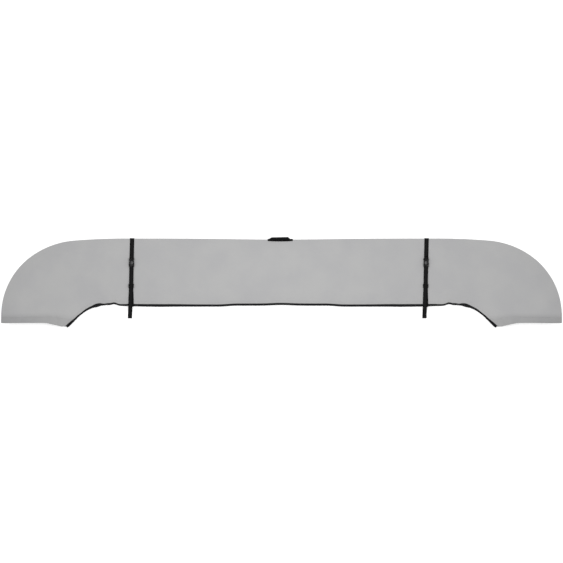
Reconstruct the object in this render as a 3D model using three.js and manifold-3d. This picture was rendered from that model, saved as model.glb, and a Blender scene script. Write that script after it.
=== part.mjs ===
// Storage boot for a folded boat canopy: a long grey canvas sleeve, zipped along its lower edge, with
// two ends that bend down into open mouths, two buckled webbing straps and a carry handle.
// It lies empty on its back. X runs along it, +Y points to the handle, +Z up. Millimetres.
import * as THREE from 'three';
import { mergeVertices } from 'three/addons/utils/BufferGeometryUtils.js';
import Module from 'manifold-3d';

const wasm = await Module();
wasm.setup();

// ---------------------------------------------------------------- driving dimensions
const CLOTH = 1; // canvas, with its coating
const TAPE = 0.8; // zip tape
const WEB = 1.2; // strap webbing
const GAP = 0.3; // between pieces that touch
const LAYER = WEB + GAP; // from one layer of webbing to the next

// The outline. The straight middle ends at x = +-SPRING, and beyond it each end bends down to a mouth.
const HALF_LENGTH = 1300;
const SPRING = 720;
const MOUTH = { innerX: 982, innerY: -16, dip: 16, flatFrom: 0.35, fade: 0.3 };
// The two edges of an end, from the mouth inwards: a straight run, then a bend to the right.
const RIM_RUNS = [
  { run: 34.8, radius: 338.4, turn: 54.2 },
  { run: 0, radius: 391.5, turn: 31.2 },
  { run: 0, radius: 3048, turn: 4.6 },
];
const ZIP_RUNS = [
  { run: 82, radius: 133, turn: 45 },
  { run: 110, radius: 0, turn: 0 },
];
// The zip's ends stand further out than its path, which fades between two distances along it.
const TUCK = { by: 7.5, from: 6, to: 52 };
// The two edges of the middle. The rim sags at the handle, and the zip line wanders a little.
const RIM = { y: 391.6, sag: 4.8, sagWide: 300 };
const ZIP_LINE = { y: 75.5, endRise: 6 };
const ZIP_STEPS = [
  { from: 295, to: 205, rise: 4.4 },
  { from: 610, to: 830, rise: ZIP_LINE.endRise },
];
const ZIP_BUMPS = [
  { at: 0, wide: 60, rise: 3 },
  { at: 560, wide: 45, rise: -0.8 },
  { at: 776, wide: 16, rise: 6.8 },
  { at: 808, wide: 14, rise: 1.5 },
  { at: 854, wide: 15, rise: -3.5 },
  { at: 885, wide: 35, rise: -3.5 },
  { at: 940, wide: 14, rise: 3 },
];

// Heights of the middle of the front panel, and how far from each edge it takes to reach its loft.
// From the zip it starts to rise at the inset start. A mouth stands higher.
const LOFT = { zip: 11, start: 10, fromZip: 62, middle: 24, rim: 3.9, fromRim: 80 };
const MOUTH_LOFT = { rise: 5, fade: 0.45 };
const STRAP_PRESS = { depth: 3, wide: 45 };
// Soft folds of the front panel: half-widths along and across, turned by turn degrees.
const FOLDS = [
  { x: -1180, y: 232, along: 80, across: 16, turn: 52, rise: -1.6 },
  { x: -1238, y: 118, along: 60, across: 14, turn: 8, rise: -1.2 },
  { x: -1120, y: 70, along: 90, across: 24, turn: 70, rise: 1.4 },
  { x: -1010, y: 150, along: 120, across: 40, turn: 38, rise: 1.6 },
  { x: -850, y: 300, along: 130, across: 34, turn: -20, rise: -1.5 },
  { x: -560, y: 175, along: 150, across: 46, turn: 12, rise: 1.4 },
  { x: -330, y: 290, along: 170, across: 40, turn: -6, rise: -1.3 },
  { x: -60, y: 190, along: 160, across: 55, turn: 3, rise: 1.2 },
  { x: 20, y: 345, along: 90, across: 30, turn: 0, rise: -1.2 },
  { x: 300, y: 255, along: 180, across: 50, turn: 9, rise: 1.5 },
  { x: 540, y: 200, along: 120, across: 36, turn: -14, rise: -1.4 },
  { x: 860, y: 285, along: 140, across: 38, turn: 24, rise: -1.6 },
  { x: 1020, y: 165, along: 110, across: 42, turn: -44, rise: 1.7 },
  { x: 1140, y: 60, along: 80, across: 20, turn: -76, rise: 1.3 },
  { x: 1205, y: 215, along: 90, across: 18, turn: -50, rise: -1.5 },
];

// The back panel lies on the floor. It lifts over the straps, with the zip, and at the rim seam.
const BACK = { floor: CLOTH / 2, rim: 2, rimFull: 10, rimFade: 26 };
const STRAP_LIFT = { full: 14, fade: 30 };

// The zip turns round the lower edge. inset is measured inwards from the outermost line of the zip.
const PANEL_INSET = { front: 10.6, back: 12 };
// The front panel's sewn edge wanders along the tape. at is the distance from the middle.
const INSET_BUMPS = [
  { at: 565, wide: 120, rise: 2.2 },
  { at: 755, wide: 42, rise: -2.4 },
  { at: 822, wide: 12, rise: -2 },
  { at: 854, wide: 17, rise: 6 },
  { at: 926, wide: 22, rise: -2.3 },
];
const BACK_TAPE = [{ inset: 26, z: 2 }, { inset: 8, z: 2 }, { inset: 3.2, z: 3.2 }];
const FRONT_TAPE = [{ inset: 4.1, z: 8.9 }, { inset: 14, z: 10 }, { inset: 26, z: 10.6 }];
const CHAIN = { inset: 2, z: 5.6, long: 6.4, thick: 3.4, lean: 60, sides: 8 };
// A slider stands out past the zip's end, and its pull stands off the chain by swing degrees.
const SLIDER = { long: 17, past: 5, wide: 6.8, thick: 3.9, sides: 8, gap: 1 };
const PULL = { long: 40, behind: 2.5, wide: 7, thick: 1.6, root: 1.4, swing: 3 };

// The straps: each a loop of webbing round the sleeve, with its hard parts.
const STRAP_XS = { left: -696, right: 670 };
const STRAP = { width: 20, overCloth: 0.7, offZip: 1.5, sewnBack: 30, roundEdge: 1.5, bend: 2.2, curve: 3 };
// Lengths of webbing between its corners: clear of a buckle or tri-glide, down from two layers to
// one, up to the rim, and from the zip to where it lies on the cloth.
const RUN = { clear: 6, second: 9, step: 12, toRim: 4, fromZip: 7.5, fromZipBend: 2 };
const RIM_STATIONS = [0.3, 0.55, 0.75]; // shares of the way from the sewn end to the rim
const STRAP_STEPS = [16, 30, 46, 64]; // insets at which the strap follows the front panel
const TAIL = { end: 22, leave: 0, fall: 30, leaveBend: 6, landBend: 12 };
// How far the loop and its tail stand to the right of the strap's line, by height.
const STRAP_LEAN = [{ y: 70, by: 1.2 }, { y: 172, by: -1.4 }, { y: 280, by: 0.7 }, { y: 391, by: 3.1 }];
const TAIL_LEAN = [{ y: 22, by: -7.2 }, { y: 172, by: -1.4 }];
const BUCKLE = { y: 280, half: 19.7, thick: 7, width: 24.6, neck: 20.6, wall: 1.6, bar: 3, slot: 2.6 };
const CORNERS = { socket: 2.4, throat: 1.6, plug: 2, triglide: 2.4 }; // outer corner radii
// Webbing about a buckle's bar: its middle line off the bar, its bend, and the slot it passes.
const BAR_TURN = { clear: 1.1, bend: 1.8, slotSide: 1, slotCorner: 0.3 };
const BUCKLE_JOINT = { y: 9.6, gap: 0.4, shoulder: 1.6, throatFrom: -4, cavityFloor: -9, cavityHalf: 9.7 };
const PRONG = { inner: 6.2, outer: 9.3, tab: 11.4, tabFrom: 2, tabTo: 8.4, tip: -7, root: 1, thick: 3.2 };
const PRONG_EDGES = { tipAcross: 1, tipAlong: 2, catchSlope: 0.4, windowEase: 0.6, guideHalf: 1.6 };
const TRIGLIDE = { y: 172, half: 9.75, width: 25, thick: 2.2 };
const GLIDE_BARS = { rail: 1.8, end: 2.35, middle: 2.4, corner: 0.4 };
const WEAVE_LOW = { first: 6.3, second: 7 }; // where a layer starts its climb over the middle bar
const WEAVE_HIGH = { first: 1.7, second: 2.4 }; // and where it ends it
const WEAVE_BEND = 1.1;

// The handle: a base strip sewn over the rim seam, and a grip that stands off it.
const HANDLE = { x: -6, half: 58, reach: 8.7, endReach: 6.6, shoulder: 1.2, lap: 0.6, stations: 10 };
const GRIP = { from: -58, to: 38, leftSlope: 14, rightSlope: 9, tilt: 0.02, thick: 2.4, stations: 14 };

const COLUMNS = { end: 16, middlePitch: 48, apart: 8 };
const ROWS = { front: 11, back: 5, crowding: 0.75 };

// ---------------------------------------------------------------- materials
const canvas = new THREE.MeshStandardMaterial({ name: 'canvas', color: 0xb7b7b7, roughness: 0.9 });
const webbing = new THREE.MeshStandardMaterial({ name: 'webbing', color: 0x1d1d1e, roughness: 0.85 });
const zipTape = new THREE.MeshStandardMaterial({ name: 'zip_tape', color: 0x29292b, roughness: 0.9 });
const nylon = new THREE.MeshStandardMaterial({ name: 'nylon', color: 0x2e2e30, roughness: 0.45 });
const plastic = new THREE.MeshStandardMaterial({ name: 'plastic', color: 0x202022, roughness: 0.4 });

// ---------------------------------------------------------------- small helpers
const { degToRad, lerp, smoothstep, clamp } = THREE.MathUtils;
const bell = (offset, wide) => Math.exp(-((offset / wide) ** 2));
const quarterSine = (t) => Math.sin((Math.PI / 2) * clamp(t, 0, 1));
const sum = (rows, term) => rows.reduce((total, row) => total + term(row), 0);
const range = (count) => Array.from({ length: count }, (_, i) => i);

// The by column of a short table at a height y, straight between its rows.
function readTable(rows, y) {
  const above = clamp(rows.findIndex((row) => row.y >= y), 1, rows.length - 1);
  const [low, high] = y > rows.at(-1).y ? rows.slice(-2) : [rows[above - 1], rows[above]];
  return lerp(low.by, high.by, clamp((y - low.y) / (high.y - low.y), 0, 1));
}

// A path laid out as straight runs and bends to the right, from a start and a heading.
function patternPath(start, heading, runs) {
  const path = new THREE.Path();
  path.moveTo(start.x, start.y);
  const at = start.clone();
  let angle = degToRad(heading);
  for (const { run, radius, turn } of runs) {
    at.add(new THREE.Vector2(Math.cos(angle), Math.sin(angle)).multiplyScalar(run));
    if (run > 0) path.lineTo(at.x, at.y);
    if (turn === 0) continue;
    const spoke = new THREE.Vector2(Math.sin(angle), -Math.cos(angle)).multiplyScalar(radius);
    const centre = at.clone().add(spoke);
    const from = angle + Math.PI / 2;
    path.absarc(centre.x, centre.y, radius, from, from - degToRad(turn), true);
    at.rotateAround(centre, -degToRad(turn));
    angle -= degToRad(turn);
  }
  return path;
}

// A closed body from vertices and quads or triangles given by their vertex numbers.
function bodyFrom(points, faces) {
  const geometry = new THREE.BufferGeometry().setFromPoints(points);
  geometry.setIndex(faces.flatMap(([a, b, c, d]) => (d === undefined ? [a, b, c] : [a, b, c, a, c, d])));
  geometry.computeVertexNormals();
  return geometry;
}

// A sheet of even thickness about a grid of points: grid[i][j], with j to the left of i's direction.
function sheet(grid, thickness) {
  const rows = grid.length;
  const cols = grid[0].length;
  const difference = (a, b) => new THREE.Vector3().subVectors(b, a);
  const half = grid.map((line, i) => line.map((_, j) => {
    const along = difference(grid[Math.max(i - 1, 0)][j], grid[Math.min(i + 1, rows - 1)][j]);
    const across = difference(line[Math.max(j - 1, 0)], line[Math.min(j + 1, cols - 1)]);
    return along.cross(across).setLength(thickness / 2);
  }));
  const faceAt = (side) => grid.flatMap((line, i) => (
    line.map((point, j) => point.clone().addScaledVector(half[i][j], side))));
  const top = (i, j) => i * cols + j;
  const under = (i, j) => rows * cols + top(i, j);
  const faces = [];
  for (const i of range(rows - 1)) {
    for (const j of range(cols - 1)) {
      faces.push([top(i, j), top(i + 1, j), top(i + 1, j + 1), top(i, j + 1)]);
      faces.push([under(i, j), under(i, j + 1), under(i + 1, j + 1), under(i + 1, j)]);
    }
  }
  const edge = (a, b) => faces.push([top(...a), top(...b), under(...b), under(...a)]);
  for (const i of range(rows - 1)) {
    edge([i + 1, 0], [i, 0]);
    edge([i, cols - 1], [i + 1, cols - 1]);
  }
  for (const j of range(cols - 1)) {
    edge([0, j], [0, j + 1]);
    edge([rows - 1, j + 1], [rows - 1, j]);
  }
  return bodyFrom([...faceAt(1), ...faceAt(-1)], faces);
}

// A closed bar through rings of points, which run anticlockwise seen from the front of the bar.
function bar(rings) {
  const sides = rings[0].length;
  const at = (i, k) => i * sides + (k % sides);
  const last = rings.length - 1;
  const faces = [];
  for (const i of range(last)) {
    for (const k of range(sides)) faces.push([at(i, k), at(i, k + 1), at(i + 1, k + 1), at(i + 1, k)]);
  }
  for (const k of range(sides - 2)) {
    faces.push([at(0, 0), at(0, k + 2), at(0, k + 1)]);
    faces.push([at(last, 0), at(last, k + 1), at(last, k + 2)]);
  }
  return bodyFrom(rings.flat(), faces);
}

// Between a three.js geometry and a manifold-3d solid.
function solid(geometry) {
  const bare = geometry.clone();
  bare.deleteAttribute('normal');
  bare.deleteAttribute('uv');
  const merged = mergeVertices(bare, 1e-4);
  const mesh = new wasm.Mesh({
    numProp: 3,
    vertProperties: new Float32Array(merged.attributes.position.array),
    triVerts: new Uint32Array(merged.index.array),
  });
  mesh.merge();
  return new wasm.Manifold(mesh);
}
function geometryOf(shape) {
  const mesh = shape.getMesh();
  const geometry = new THREE.BufferGeometry();
  geometry.setAttribute('position', new THREE.BufferAttribute(new Float32Array(mesh.vertProperties), 3));
  geometry.setIndex(new THREE.BufferAttribute(new Uint32Array(mesh.triVerts), 1));
  geometry.computeVertexNormals();
  return geometry;
}

// A box between two corners, an outline with round corners, and a plate of an outline from one
// height to another.
function box(x0, x1, y0, y1, z0, z1) {
  const geometry = new THREE.BoxGeometry(x1 - x0, y1 - y0, z1 - z0);
  return geometry.translate((x0 + x1) / 2, (y0 + y1) / 2, (z0 + z1) / 2);
}
function roundedRectangle(x0, x1, y0, y1, round) {
  const shape = new THREE.Shape();
  shape.moveTo(x0 + round, y0).lineTo(x1 - round, y0).quadraticCurveTo(x1, y0, x1, y0 + round);
  shape.lineTo(x1, y1 - round).quadraticCurveTo(x1, y1, x1 - round, y1);
  shape.lineTo(x0 + round, y1).quadraticCurveTo(x0, y1, x0, y1 - round);
  shape.lineTo(x0, y0 + round).quadraticCurveTo(x0, y0, x0 + round, y0);
  return shape;
}
function plate(shape, low, high) {
  const options = { depth: high - low, bevelEnabled: false, curveSegments: 3 };
  return new THREE.ExtrudeGeometry(shape, options).translate(0, 0, low);
}

// ---------------------------------------------------------------- the sleeve's two edges
const rimY = (x) => RIM.y - RIM.sag * bell(x, RIM.sagWide);
function zipRise(x) {
  const far = Math.abs(x);
  const steps = sum(ZIP_STEPS, ({ from, to, rise }) => rise * smoothstep((far - from) / (to - from), 0, 1));
  return steps + sum(ZIP_BUMPS, ({ at, wide, rise }) => rise * bell(far - at, wide));
}
const zipY = (x) => ZIP_LINE.y + zipRise(x);

// Columns run across the sleeve, from a point of the zip line to the point of the rim that it faces.
// mouthward is 1 at a mouth and falls to 0 where the straight middle begins.
function endColumns(side) {
  const rim = patternPath(new THREE.Vector2(-HALF_LENGTH, 0), 90, RIM_RUNS).getSpacedPoints(COLUMNS.end);
  const corner = new THREE.Vector2(-MOUTH.innerX, MOUTH.innerY);
  const zipPath = patternPath(corner, 45, ZIP_RUNS);
  return rim.map((point, i) => {
    const { x, y } = zipPath.getPointAt(i / COLUMNS.end);
    const along = (i / COLUMNS.end) * zipPath.getLength();
    const tucked = x - TUCK.by * (1 - smoothstep(along, TUCK.from, TUCK.to));
    return {
      rim: new THREE.Vector2(-side * point.x, point.y),
      zip: new THREE.Vector2(-side * tucked, y + zipRise(x) - ZIP_LINE.endRise),
      mouthward: 1 - i / COLUMNS.end,
    };
  });
}
function middleColumns() {
  const steps = Math.round((2 * SPRING) / COLUMNS.middlePitch);
  const even = range(steps + 1).map((i) => lerp(-SPRING, SPRING, i / steps));
  const offsets = [-STRAP_LIFT.fade, -STRAP_LIFT.full, STRAP_LIFT.full, STRAP_LIFT.fade];
  const atStraps = Object.values(STRAP_XS).flatMap((x) => offsets.map((offset) => x + offset));
  const inside = atStraps.filter((x) => Math.abs(x) < SPRING);
  const free = even.filter((x) => inside.every((near) => Math.abs(near - x) > COLUMNS.apart));
  return [...free, ...inside].sort((a, b) => a - b).map((x) => ({
    rim: new THREE.Vector2(x, rimY(x)),
    zip: new THREE.Vector2(x, zipY(x)),
    mouthward: 0,
  }));
}

// inward leads from the zip line into the sleeve, one millimetre of inset a step. At a mouth it runs
// along the hem, so that everything there is cut on one line.
function allColumns() {
  const [left, right] = [endColumns(-1), endColumns(1)];
  const columns = [...left.slice(0, -1), ...middleColumns(), ...right.reverse().slice(1)];
  const last = columns.length - 1;
  columns.forEach((column, i) => {
    const before = columns[Math.max(i - 1, 0)].zip;
    const after = columns[Math.min(i + 1, last)].zip;
    column.travel = new THREE.Vector2().subVectors(after, before).normalize();
    column.inward = new THREE.Vector2(-column.travel.y, column.travel.x);
    if (i === 0 || i === last) {
      const hem = new THREE.Vector2().subVectors(column.rim, column.zip).setY(0).normalize();
      column.inward = hem.divideScalar(hem.dot(column.inward));
    }
  });
  return columns;
}
const columns = allColumns();

// A point of a panel in plan: v runs from its sewn edge at the zip, 0, to the rim, 1. The hem is not
// straight: it dips towards the zip, and the rows next to it follow.
function planPoint(column, inset, v) {
  const point = column.zip.clone().addScaledVector(column.inward, inset).lerp(column.rim, v);
  const hem = -MOUTH.dip * (1 - smoothstep(v, 0, MOUTH.flatFrom));
  const straight = lerp(MOUTH.innerY, 0, v);
  point.y += (hem - straight) * smoothstep(column.mouthward, 1 - MOUTH.fade, 1);
  return point;
}

// ---------------------------------------------------------------- heights of the cloth
function strapNearness(x, full, fade) {
  const nearest = Math.min(...Object.values(STRAP_XS).map((strap) => Math.abs(x - strap)));
  return 1 - smoothstep(nearest, full, fade);
}
const strapLift = (x) => LAYER * strapNearness(x, STRAP_LIFT.full, STRAP_LIFT.fade);

function foldHeight(x, y) {
  return sum(FOLDS, (fold) => {
    const offset = new THREE.Vector2(x - fold.x, y - fold.y);
    offset.rotateAround(new THREE.Vector2(), -degToRad(fold.turn));
    return fold.rise * bell(offset.x, fold.along) * bell(offset.y, fold.across);
  });
}

// Middle of the front panel at an inset from the zip line and a distance from the rim.
function frontHeight(x, y, inset, fromRim, mouthward) {
  const pressed = sum(Object.values(STRAP_XS), (strap) => bell(x - strap, STRAP_PRESS.wide));
  const open = MOUTH_LOFT.rise * smoothstep(mouthward, 1 - MOUTH_LOFT.fade, 1);
  const loft = LOFT.middle + open + foldHeight(x, y) - STRAP_PRESS.depth * pressed;
  const risen = quarterSine((inset - LOFT.start) / LOFT.fromZip);
  return lerp(LOFT.rim, lerp(LOFT.zip + strapLift(x), loft, risen), quarterSine(fromRim / LOFT.fromRim));
}
function backHeight(x, fromRim) {
  const rimLift = (BACK.rim - BACK.floor) * (1 - smoothstep(fromRim, BACK.rimFull, BACK.rimFade));
  return BACK.floor + Math.max(rimLift, strapLift(x));
}
// Top of the front panel in the straight middle.
const frontTop = (x, y) => frontHeight(x, y, y - zipY(x), rimY(x) - y, 0) + CLOTH / 2;

// ---------------------------------------------------------------- panels
// Where the rows of a panel stand across a column, from 0 at its zip edge to 1 at the rim. The front
// rows stand closer together near both edges, and the back ones where the cloth lifts to the seam.
const spread = (t) => lerp(t, 0.5 - 0.5 * Math.cos(Math.PI * t), ROWS.crowding);
const frontRows = () => range(ROWS.front + 1).map((j) => spread(j / ROWS.front));
function backRows(length) {
  const flat = range(ROWS.back + 1).map((j) => (j / ROWS.back) * (1 - BACK.rimFade / length));
  return [...flat, 1 - BACK.rimFull / length, 1];
}

// sewnAt is the inset of a column's sewn edge.
function panel(sewnAt, rows, height) {
  const grid = columns.map((column) => {
    const sewn = sewnAt(column);
    const [start, end] = [planPoint(column, sewn, 0), planPoint(column, sewn, 1)];
    return rows(start.distanceTo(end)).map((v) => {
      const point = planPoint(column, sewn, v);
      const z = height(column, point, sewn + point.distanceTo(start), point.distanceTo(end));
      return new THREE.Vector3(point.x, point.y, z);
    });
  });
  return sheet(grid, CLOTH);
}
const wander = ({ zip }) => sum(INSET_BUMPS, ({ at, wide, rise }) => rise * bell(Math.abs(zip.x) - at, wide));
const frontSewnAt = (column) => PANEL_INSET.front + wander(column);
const frontPanel = () => panel(frontSewnAt, frontRows, (column, point, inset, fromRim) => (
  frontHeight(point.x, point.y, inset, fromRim, column.mouthward)));
const backPanel = () => panel(() => PANEL_INSET.back, backRows, (column, point, inset, fromRim) => (
  backHeight(point.x, fromRim)));

// ---------------------------------------------------------------- zip
function zipPoint(column, inset, z) {
  const { x, y } = column.zip.clone().addScaledVector(column.inward, inset);
  return new THREE.Vector3(x, y, z + strapLift(column.zip.x));
}
function tape(profile) {
  return sheet(columns.map((column) => profile.map(({ inset, z }) => zipPoint(column, inset, z))), TAPE);
}

// The chain's own axes in its section: lean is its width, out its thickness, away from the sleeve.
const CHAIN_AXES = {
  lean: new THREE.Vector2(Math.cos(degToRad(CHAIN.lean)), Math.sin(degToRad(CHAIN.lean))),
  out: new THREE.Vector2(-Math.sin(degToRad(CHAIN.lean)), Math.cos(degToRad(CHAIN.lean))),
};
function chainRing(column) {
  return range(CHAIN.sides).map((k) => {
    const angle = (2 * Math.PI * k) / CHAIN.sides;
    const offset = CHAIN_AXES.lean.clone().multiplyScalar((CHAIN.long / 2) * Math.cos(angle));
    offset.addScaledVector(CHAIN_AXES.out, (CHAIN.thick / 2) * Math.sin(angle));
    return zipPoint(column, CHAIN.inset + offset.x, CHAIN.z + offset.y);
  });
}
// The chain stops where the sliders stand, one at each end of the zip.
function pulledIn(column, next) {
  const along = (SLIDER.long - SLIDER.past + SLIDER.gap) / column.zip.distanceTo(next.zip);
  return { zip: column.zip.clone().lerp(next.zip, along), inward: next.inward };
}
function zipChain() {
  const stations = [
    pulledIn(columns[0], columns[1]),
    ...columns.slice(1, -1),
    pulledIn(columns.at(-1), columns.at(-2)),
  ];
  return bar(stations.map(chainRing));
}

// A slider: a rounded body across the chain's end, and a pull that lies back along the chain.
// Made with X along the chain's width, Y away from the sleeve and Z along the zip.
function sliderBody(towardsMiddle) {
  const section = new THREE.Shape(range(SLIDER.sides).map((k) => {
    const angle = (2 * Math.PI * k) / SLIDER.sides;
    return new THREE.Vector2((SLIDER.wide / 2) * Math.cos(angle), (SLIDER.thick / 2) * Math.sin(angle));
  }));
  const body = plate(section, -SLIDER.long / 2, SLIDER.long / 2);
  const low = SLIDER.thick / 2 - PULL.root / 2;
  const ends = [-PULL.behind, PULL.long - PULL.behind];
  const span = ends.map((end) => towardsMiddle * end).sort((a, b) => a - b);
  const root = box(-PULL.root, PULL.root, low, low + 2 * PULL.root, -PULL.root, PULL.root);
  const pullLow = low + PULL.root;
  const pull = box(-PULL.wide / 2, PULL.wide / 2, pullLow, pullLow + PULL.thick, ...span);
  pull.rotateX(-towardsMiddle * degToRad(PULL.swing));
  return geometryOf(solid(body).add(solid(root)).add(solid(pull)));
}
function zipSlider(name, column, next, towardsMiddle) {
  const mesh = new THREE.Mesh(sliderBody(towardsMiddle), plastic.clone());
  mesh.name = name;
  const travel = new THREE.Vector3(...next.zip.clone().sub(column.zip).normalize(), 0);
  travel.multiplyScalar(towardsMiddle);
  const inward = new THREE.Vector3(-travel.y, travel.x, 0);
  const up = new THREE.Vector3(0, 0, 1);
  const axis = ({ x, y }) => inward.clone().multiplyScalar(x).addScaledVector(up, y);
  const basis = new THREE.Matrix4().makeBasis(axis(CHAIN_AXES.lean), axis(CHAIN_AXES.out), travel);
  mesh.quaternion.setFromRotationMatrix(basis);
  const plan = new THREE.Vector3(column.zip.x, column.zip.y, CHAIN.z);
  plan.addScaledVector(travel, towardsMiddle * (SLIDER.long / 2 - SLIDER.past));
  plan.addScaledVector(inward, CHAIN.inset);
  mesh.position.copy(plan);
  return mesh;
}

// ---------------------------------------------------------------- straps
// Heights along one strap: the bottom of its first layer, where it rests on the front panel.
const webRest = (x, y) => frontTop(x, y) + STRAP.overCloth;
const webMiddle = (x, y, layer) => webRest(x, y) + WEB / 2 + (layer - 1) * LAYER;

// Corners of the strap's middle line in section, each with the length that its bend takes off.
// A turn about a buckle's outer bar, coming in under it and leaving over it.
function barTurn(x, outward) {
  const underside = webRest(x, BUCKLE.y);
  const { clear, bend } = BAR_TURN;
  const turn = BUCKLE.y + outward * (BUCKLE.half - BUCKLE.bar - clear);
  const free = BUCKLE.y + outward * (BUCKLE.half + STRAP.roundEdge);
  const low = underside + (BUCKLE.thick - BUCKLE.bar) / 2 - clear;
  const high = underside + (BUCKLE.thick + BUCKLE.bar) / 2 + clear;
  return [
    { y: free, z: low, bend: 0 },
    { y: turn, z: low, bend },
    { y: turn, z: high, bend },
    { y: free, z: high, bend: 0 },
  ];
}

// One layer's way up through the tri-glide: under its lower bar, over the middle, under the upper.
function weave(x, layer, order) {
  const rest = webRest(x, TRIGLIDE.y);
  const low = rest + WEB / 2 + (order - 1) * LAYER;
  const high = rest + 2 * LAYER + TRIGLIDE.thick + GAP + WEB / 2 + (order - 1) * LAYER;
  return [
    { y: TRIGLIDE.y - WEAVE_LOW[layer], z: low, bend: WEAVE_BEND },
    { y: TRIGLIDE.y - WEAVE_HIGH[layer], z: high, bend: WEAVE_BEND },
    { y: TRIGLIDE.y + WEAVE_HIGH[layer], z: high, bend: WEAVE_BEND },
    { y: TRIGLIDE.y + WEAVE_LOW[layer], z: low, bend: WEAVE_BEND },
  ];
}

// The whole strap in section. It starts at the end that is sewn back on itself under the upper
// buckle half, runs over the rim, under the sleeve, round the zip and up through the tri-glide,
// turns about the lower buckle half, and comes back through the tri-glide as the tail.
function strapCorners(x) {
  const on = (y, layer, bend = 0) => ({ y, z: webMiddle(x, y, layer), bend });
  const rim = rimY(x);
  const zip = zipY(x);
  const [buckleTop, buckleFoot] = [BUCKLE.y + BUCKLE.half, BUCKLE.y - BUCKLE.half];
  const [glideTop, glideFoot] = [TRIGLIDE.y + TRIGLIDE.half, TRIGLIDE.y - TRIGLIDE.half];
  const sewn = STRAP.sewnBack;
  const lastOnCloth = buckleTop + sewn + RUN.step;
  return [
    on(buckleTop + sewn, 1),
    on(buckleTop + RUN.clear, 1),
    ...barTurn(x, 1),
    on(buckleTop + RUN.second, 2),
    on(buckleTop + sewn, 2),
    on(lastOnCloth, 1),
    ...RIM_STATIONS.map((t) => on(lerp(lastOnCloth, rim, t), 1)),
    on(rim - RUN.toRim, 1),
    { y: rim + STRAP.roundEdge, z: LOFT.rim + CLOTH + LAYER, bend: STRAP.bend },
    { y: rim + STRAP.roundEdge, z: WEB / 2, bend: STRAP.bend },
    { y: (rim + zip) / 2, z: WEB / 2, bend: 0 },
    { y: zip - STRAP.offZip, z: WEB / 2, bend: STRAP.bend },
    { y: zip - STRAP.offZip, z: CHAIN.z + 2 * LAYER, bend: STRAP.bend },
    { y: zip + RUN.fromZip, z: LOFT.zip + 2 * LAYER + GAP, bend: RUN.fromZipBend },
    ...STRAP_STEPS.map((inset) => on(zip + inset, 1)),
    on(glideFoot - RUN.clear, 1),
    ...weave(x, 'first', 1),
    on(glideTop + RUN.clear, 1),
    on(buckleFoot - RUN.step, 1),
    ...barTurn(x, -1),
    on(buckleFoot - RUN.step, 2),
    on(glideTop + RUN.clear, 2),
    ...weave(x, 'second', 2).reverse(),
    on(glideFoot - RUN.clear, 2),
    ...[...STRAP_STEPS].reverse().map((inset) => on(zip + inset, 2)),
    { y: zip + TAIL.leave, z: LOFT.zip + 3 * LAYER + GAP, bend: TAIL.leaveBend },
    { y: zip - TAIL.fall, z: WEB / 2, bend: TAIL.landBend },
    { y: TAIL.end, z: WEB / 2, bend: 0 },
  ];
}

// The corners rounded off: a path of straight stretches and short bends.
function roundedRoute(corners) {
  const path = new THREE.Path();
  const at = ({ y, z }) => new THREE.Vector2(y, z);
  path.moveTo(corners[0].y, corners[0].z);
  corners.slice(1, -1).forEach((corner, i) => {
    if (corner.bend === 0) {
      path.lineTo(corner.y, corner.z);
      return;
    }
    const here = at(corner);
    const into = at(corners[i]).sub(here).setLength(corner.bend).add(here);
    const out = at(corners[i + 2]).sub(here).setLength(corner.bend).add(here);
    path.lineTo(into.x, into.y).quadraticCurveTo(here.x, here.y, out.x, out.y);
  });
  path.lineTo(corners.at(-1).y, corners.at(-1).z);
  return path.getPoints(STRAP.curve);
}

function strap(x) {
  const route = roundedRoute(strapCorners(x));
  const tailFrom = route.length - 1 - [...route].reverse().findIndex((point) => point.x >= TRIGLIDE.y);
  const grid = route.map((point, i) => {
    const lean = readTable(i > tailFrom ? TAIL_LEAN : STRAP_LEAN, point.x);
    const side = (half) => new THREE.Vector3(x + lean + half * STRAP.width, point.x, point.y);
    return [side(-0.5), side(0.5)];
  });
  return sheet(grid, WEB);
}

// ---------------------------------------------------------------- buckles and tri-glides
// Made about their own middle, lying flat, from z = 0 up, with +Y to the upper strap end.
function slotHole(y0, y1) {
  const halfSlot = STRAP.width / 2 + BAR_TURN.slotSide;
  return roundedRectangle(-halfSlot, halfSlot, y0, y1, BAR_TURN.slotCorner);
}

// The lower half: a shell with a bar for the webbing, open at its upper end and at both sides,
// where the prongs' catches show.
function buckleSocket() {
  const { half, thick, width, neck, wall, slot } = BUCKLE;
  const barFrom = -half + BUCKLE.bar;
  const wide = roundedRectangle(-width / 2, width / 2, -half, BUCKLE_JOINT.shoulder, CORNERS.socket);
  wide.holes.push(slotHole(barFrom, barFrom + slot));
  const body = solid(plate(wide, 0, thick));
  const { throatFrom, cavityHalf, cavityFloor } = BUCKLE_JOINT;
  const neckOutline = roundedRectangle(-neck / 2, neck / 2, throatFrom, BUCKLE_JOINT.y, CORNERS.throat);
  const throat = solid(plate(neckOutline, 0, thick));
  const cavity = solid(box(-cavityHalf, cavityHalf, cavityFloor, half, wall, thick - wall));
  const tabHalf = PRONG.tab + BUCKLE_JOINT.gap;
  const windowFrom = PRONG.tabFrom - PRONG_EDGES.windowEase;
  const window = solid(box(-tabHalf, tabHalf, windowFrom, half, wall, thick - wall));
  const barThinner = (thick - BUCKLE.bar) / 2;
  const overBar = solid(box(-width, width, -half - 1, barFrom, thick - barThinner, thick + 1));
  const underBar = solid(box(-width, width, -half - 1, barFrom, -1, barThinner));
  return geometryOf(body.add(throat).subtract(cavity).subtract(window).subtract(overBar).subtract(underBar));
}

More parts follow.
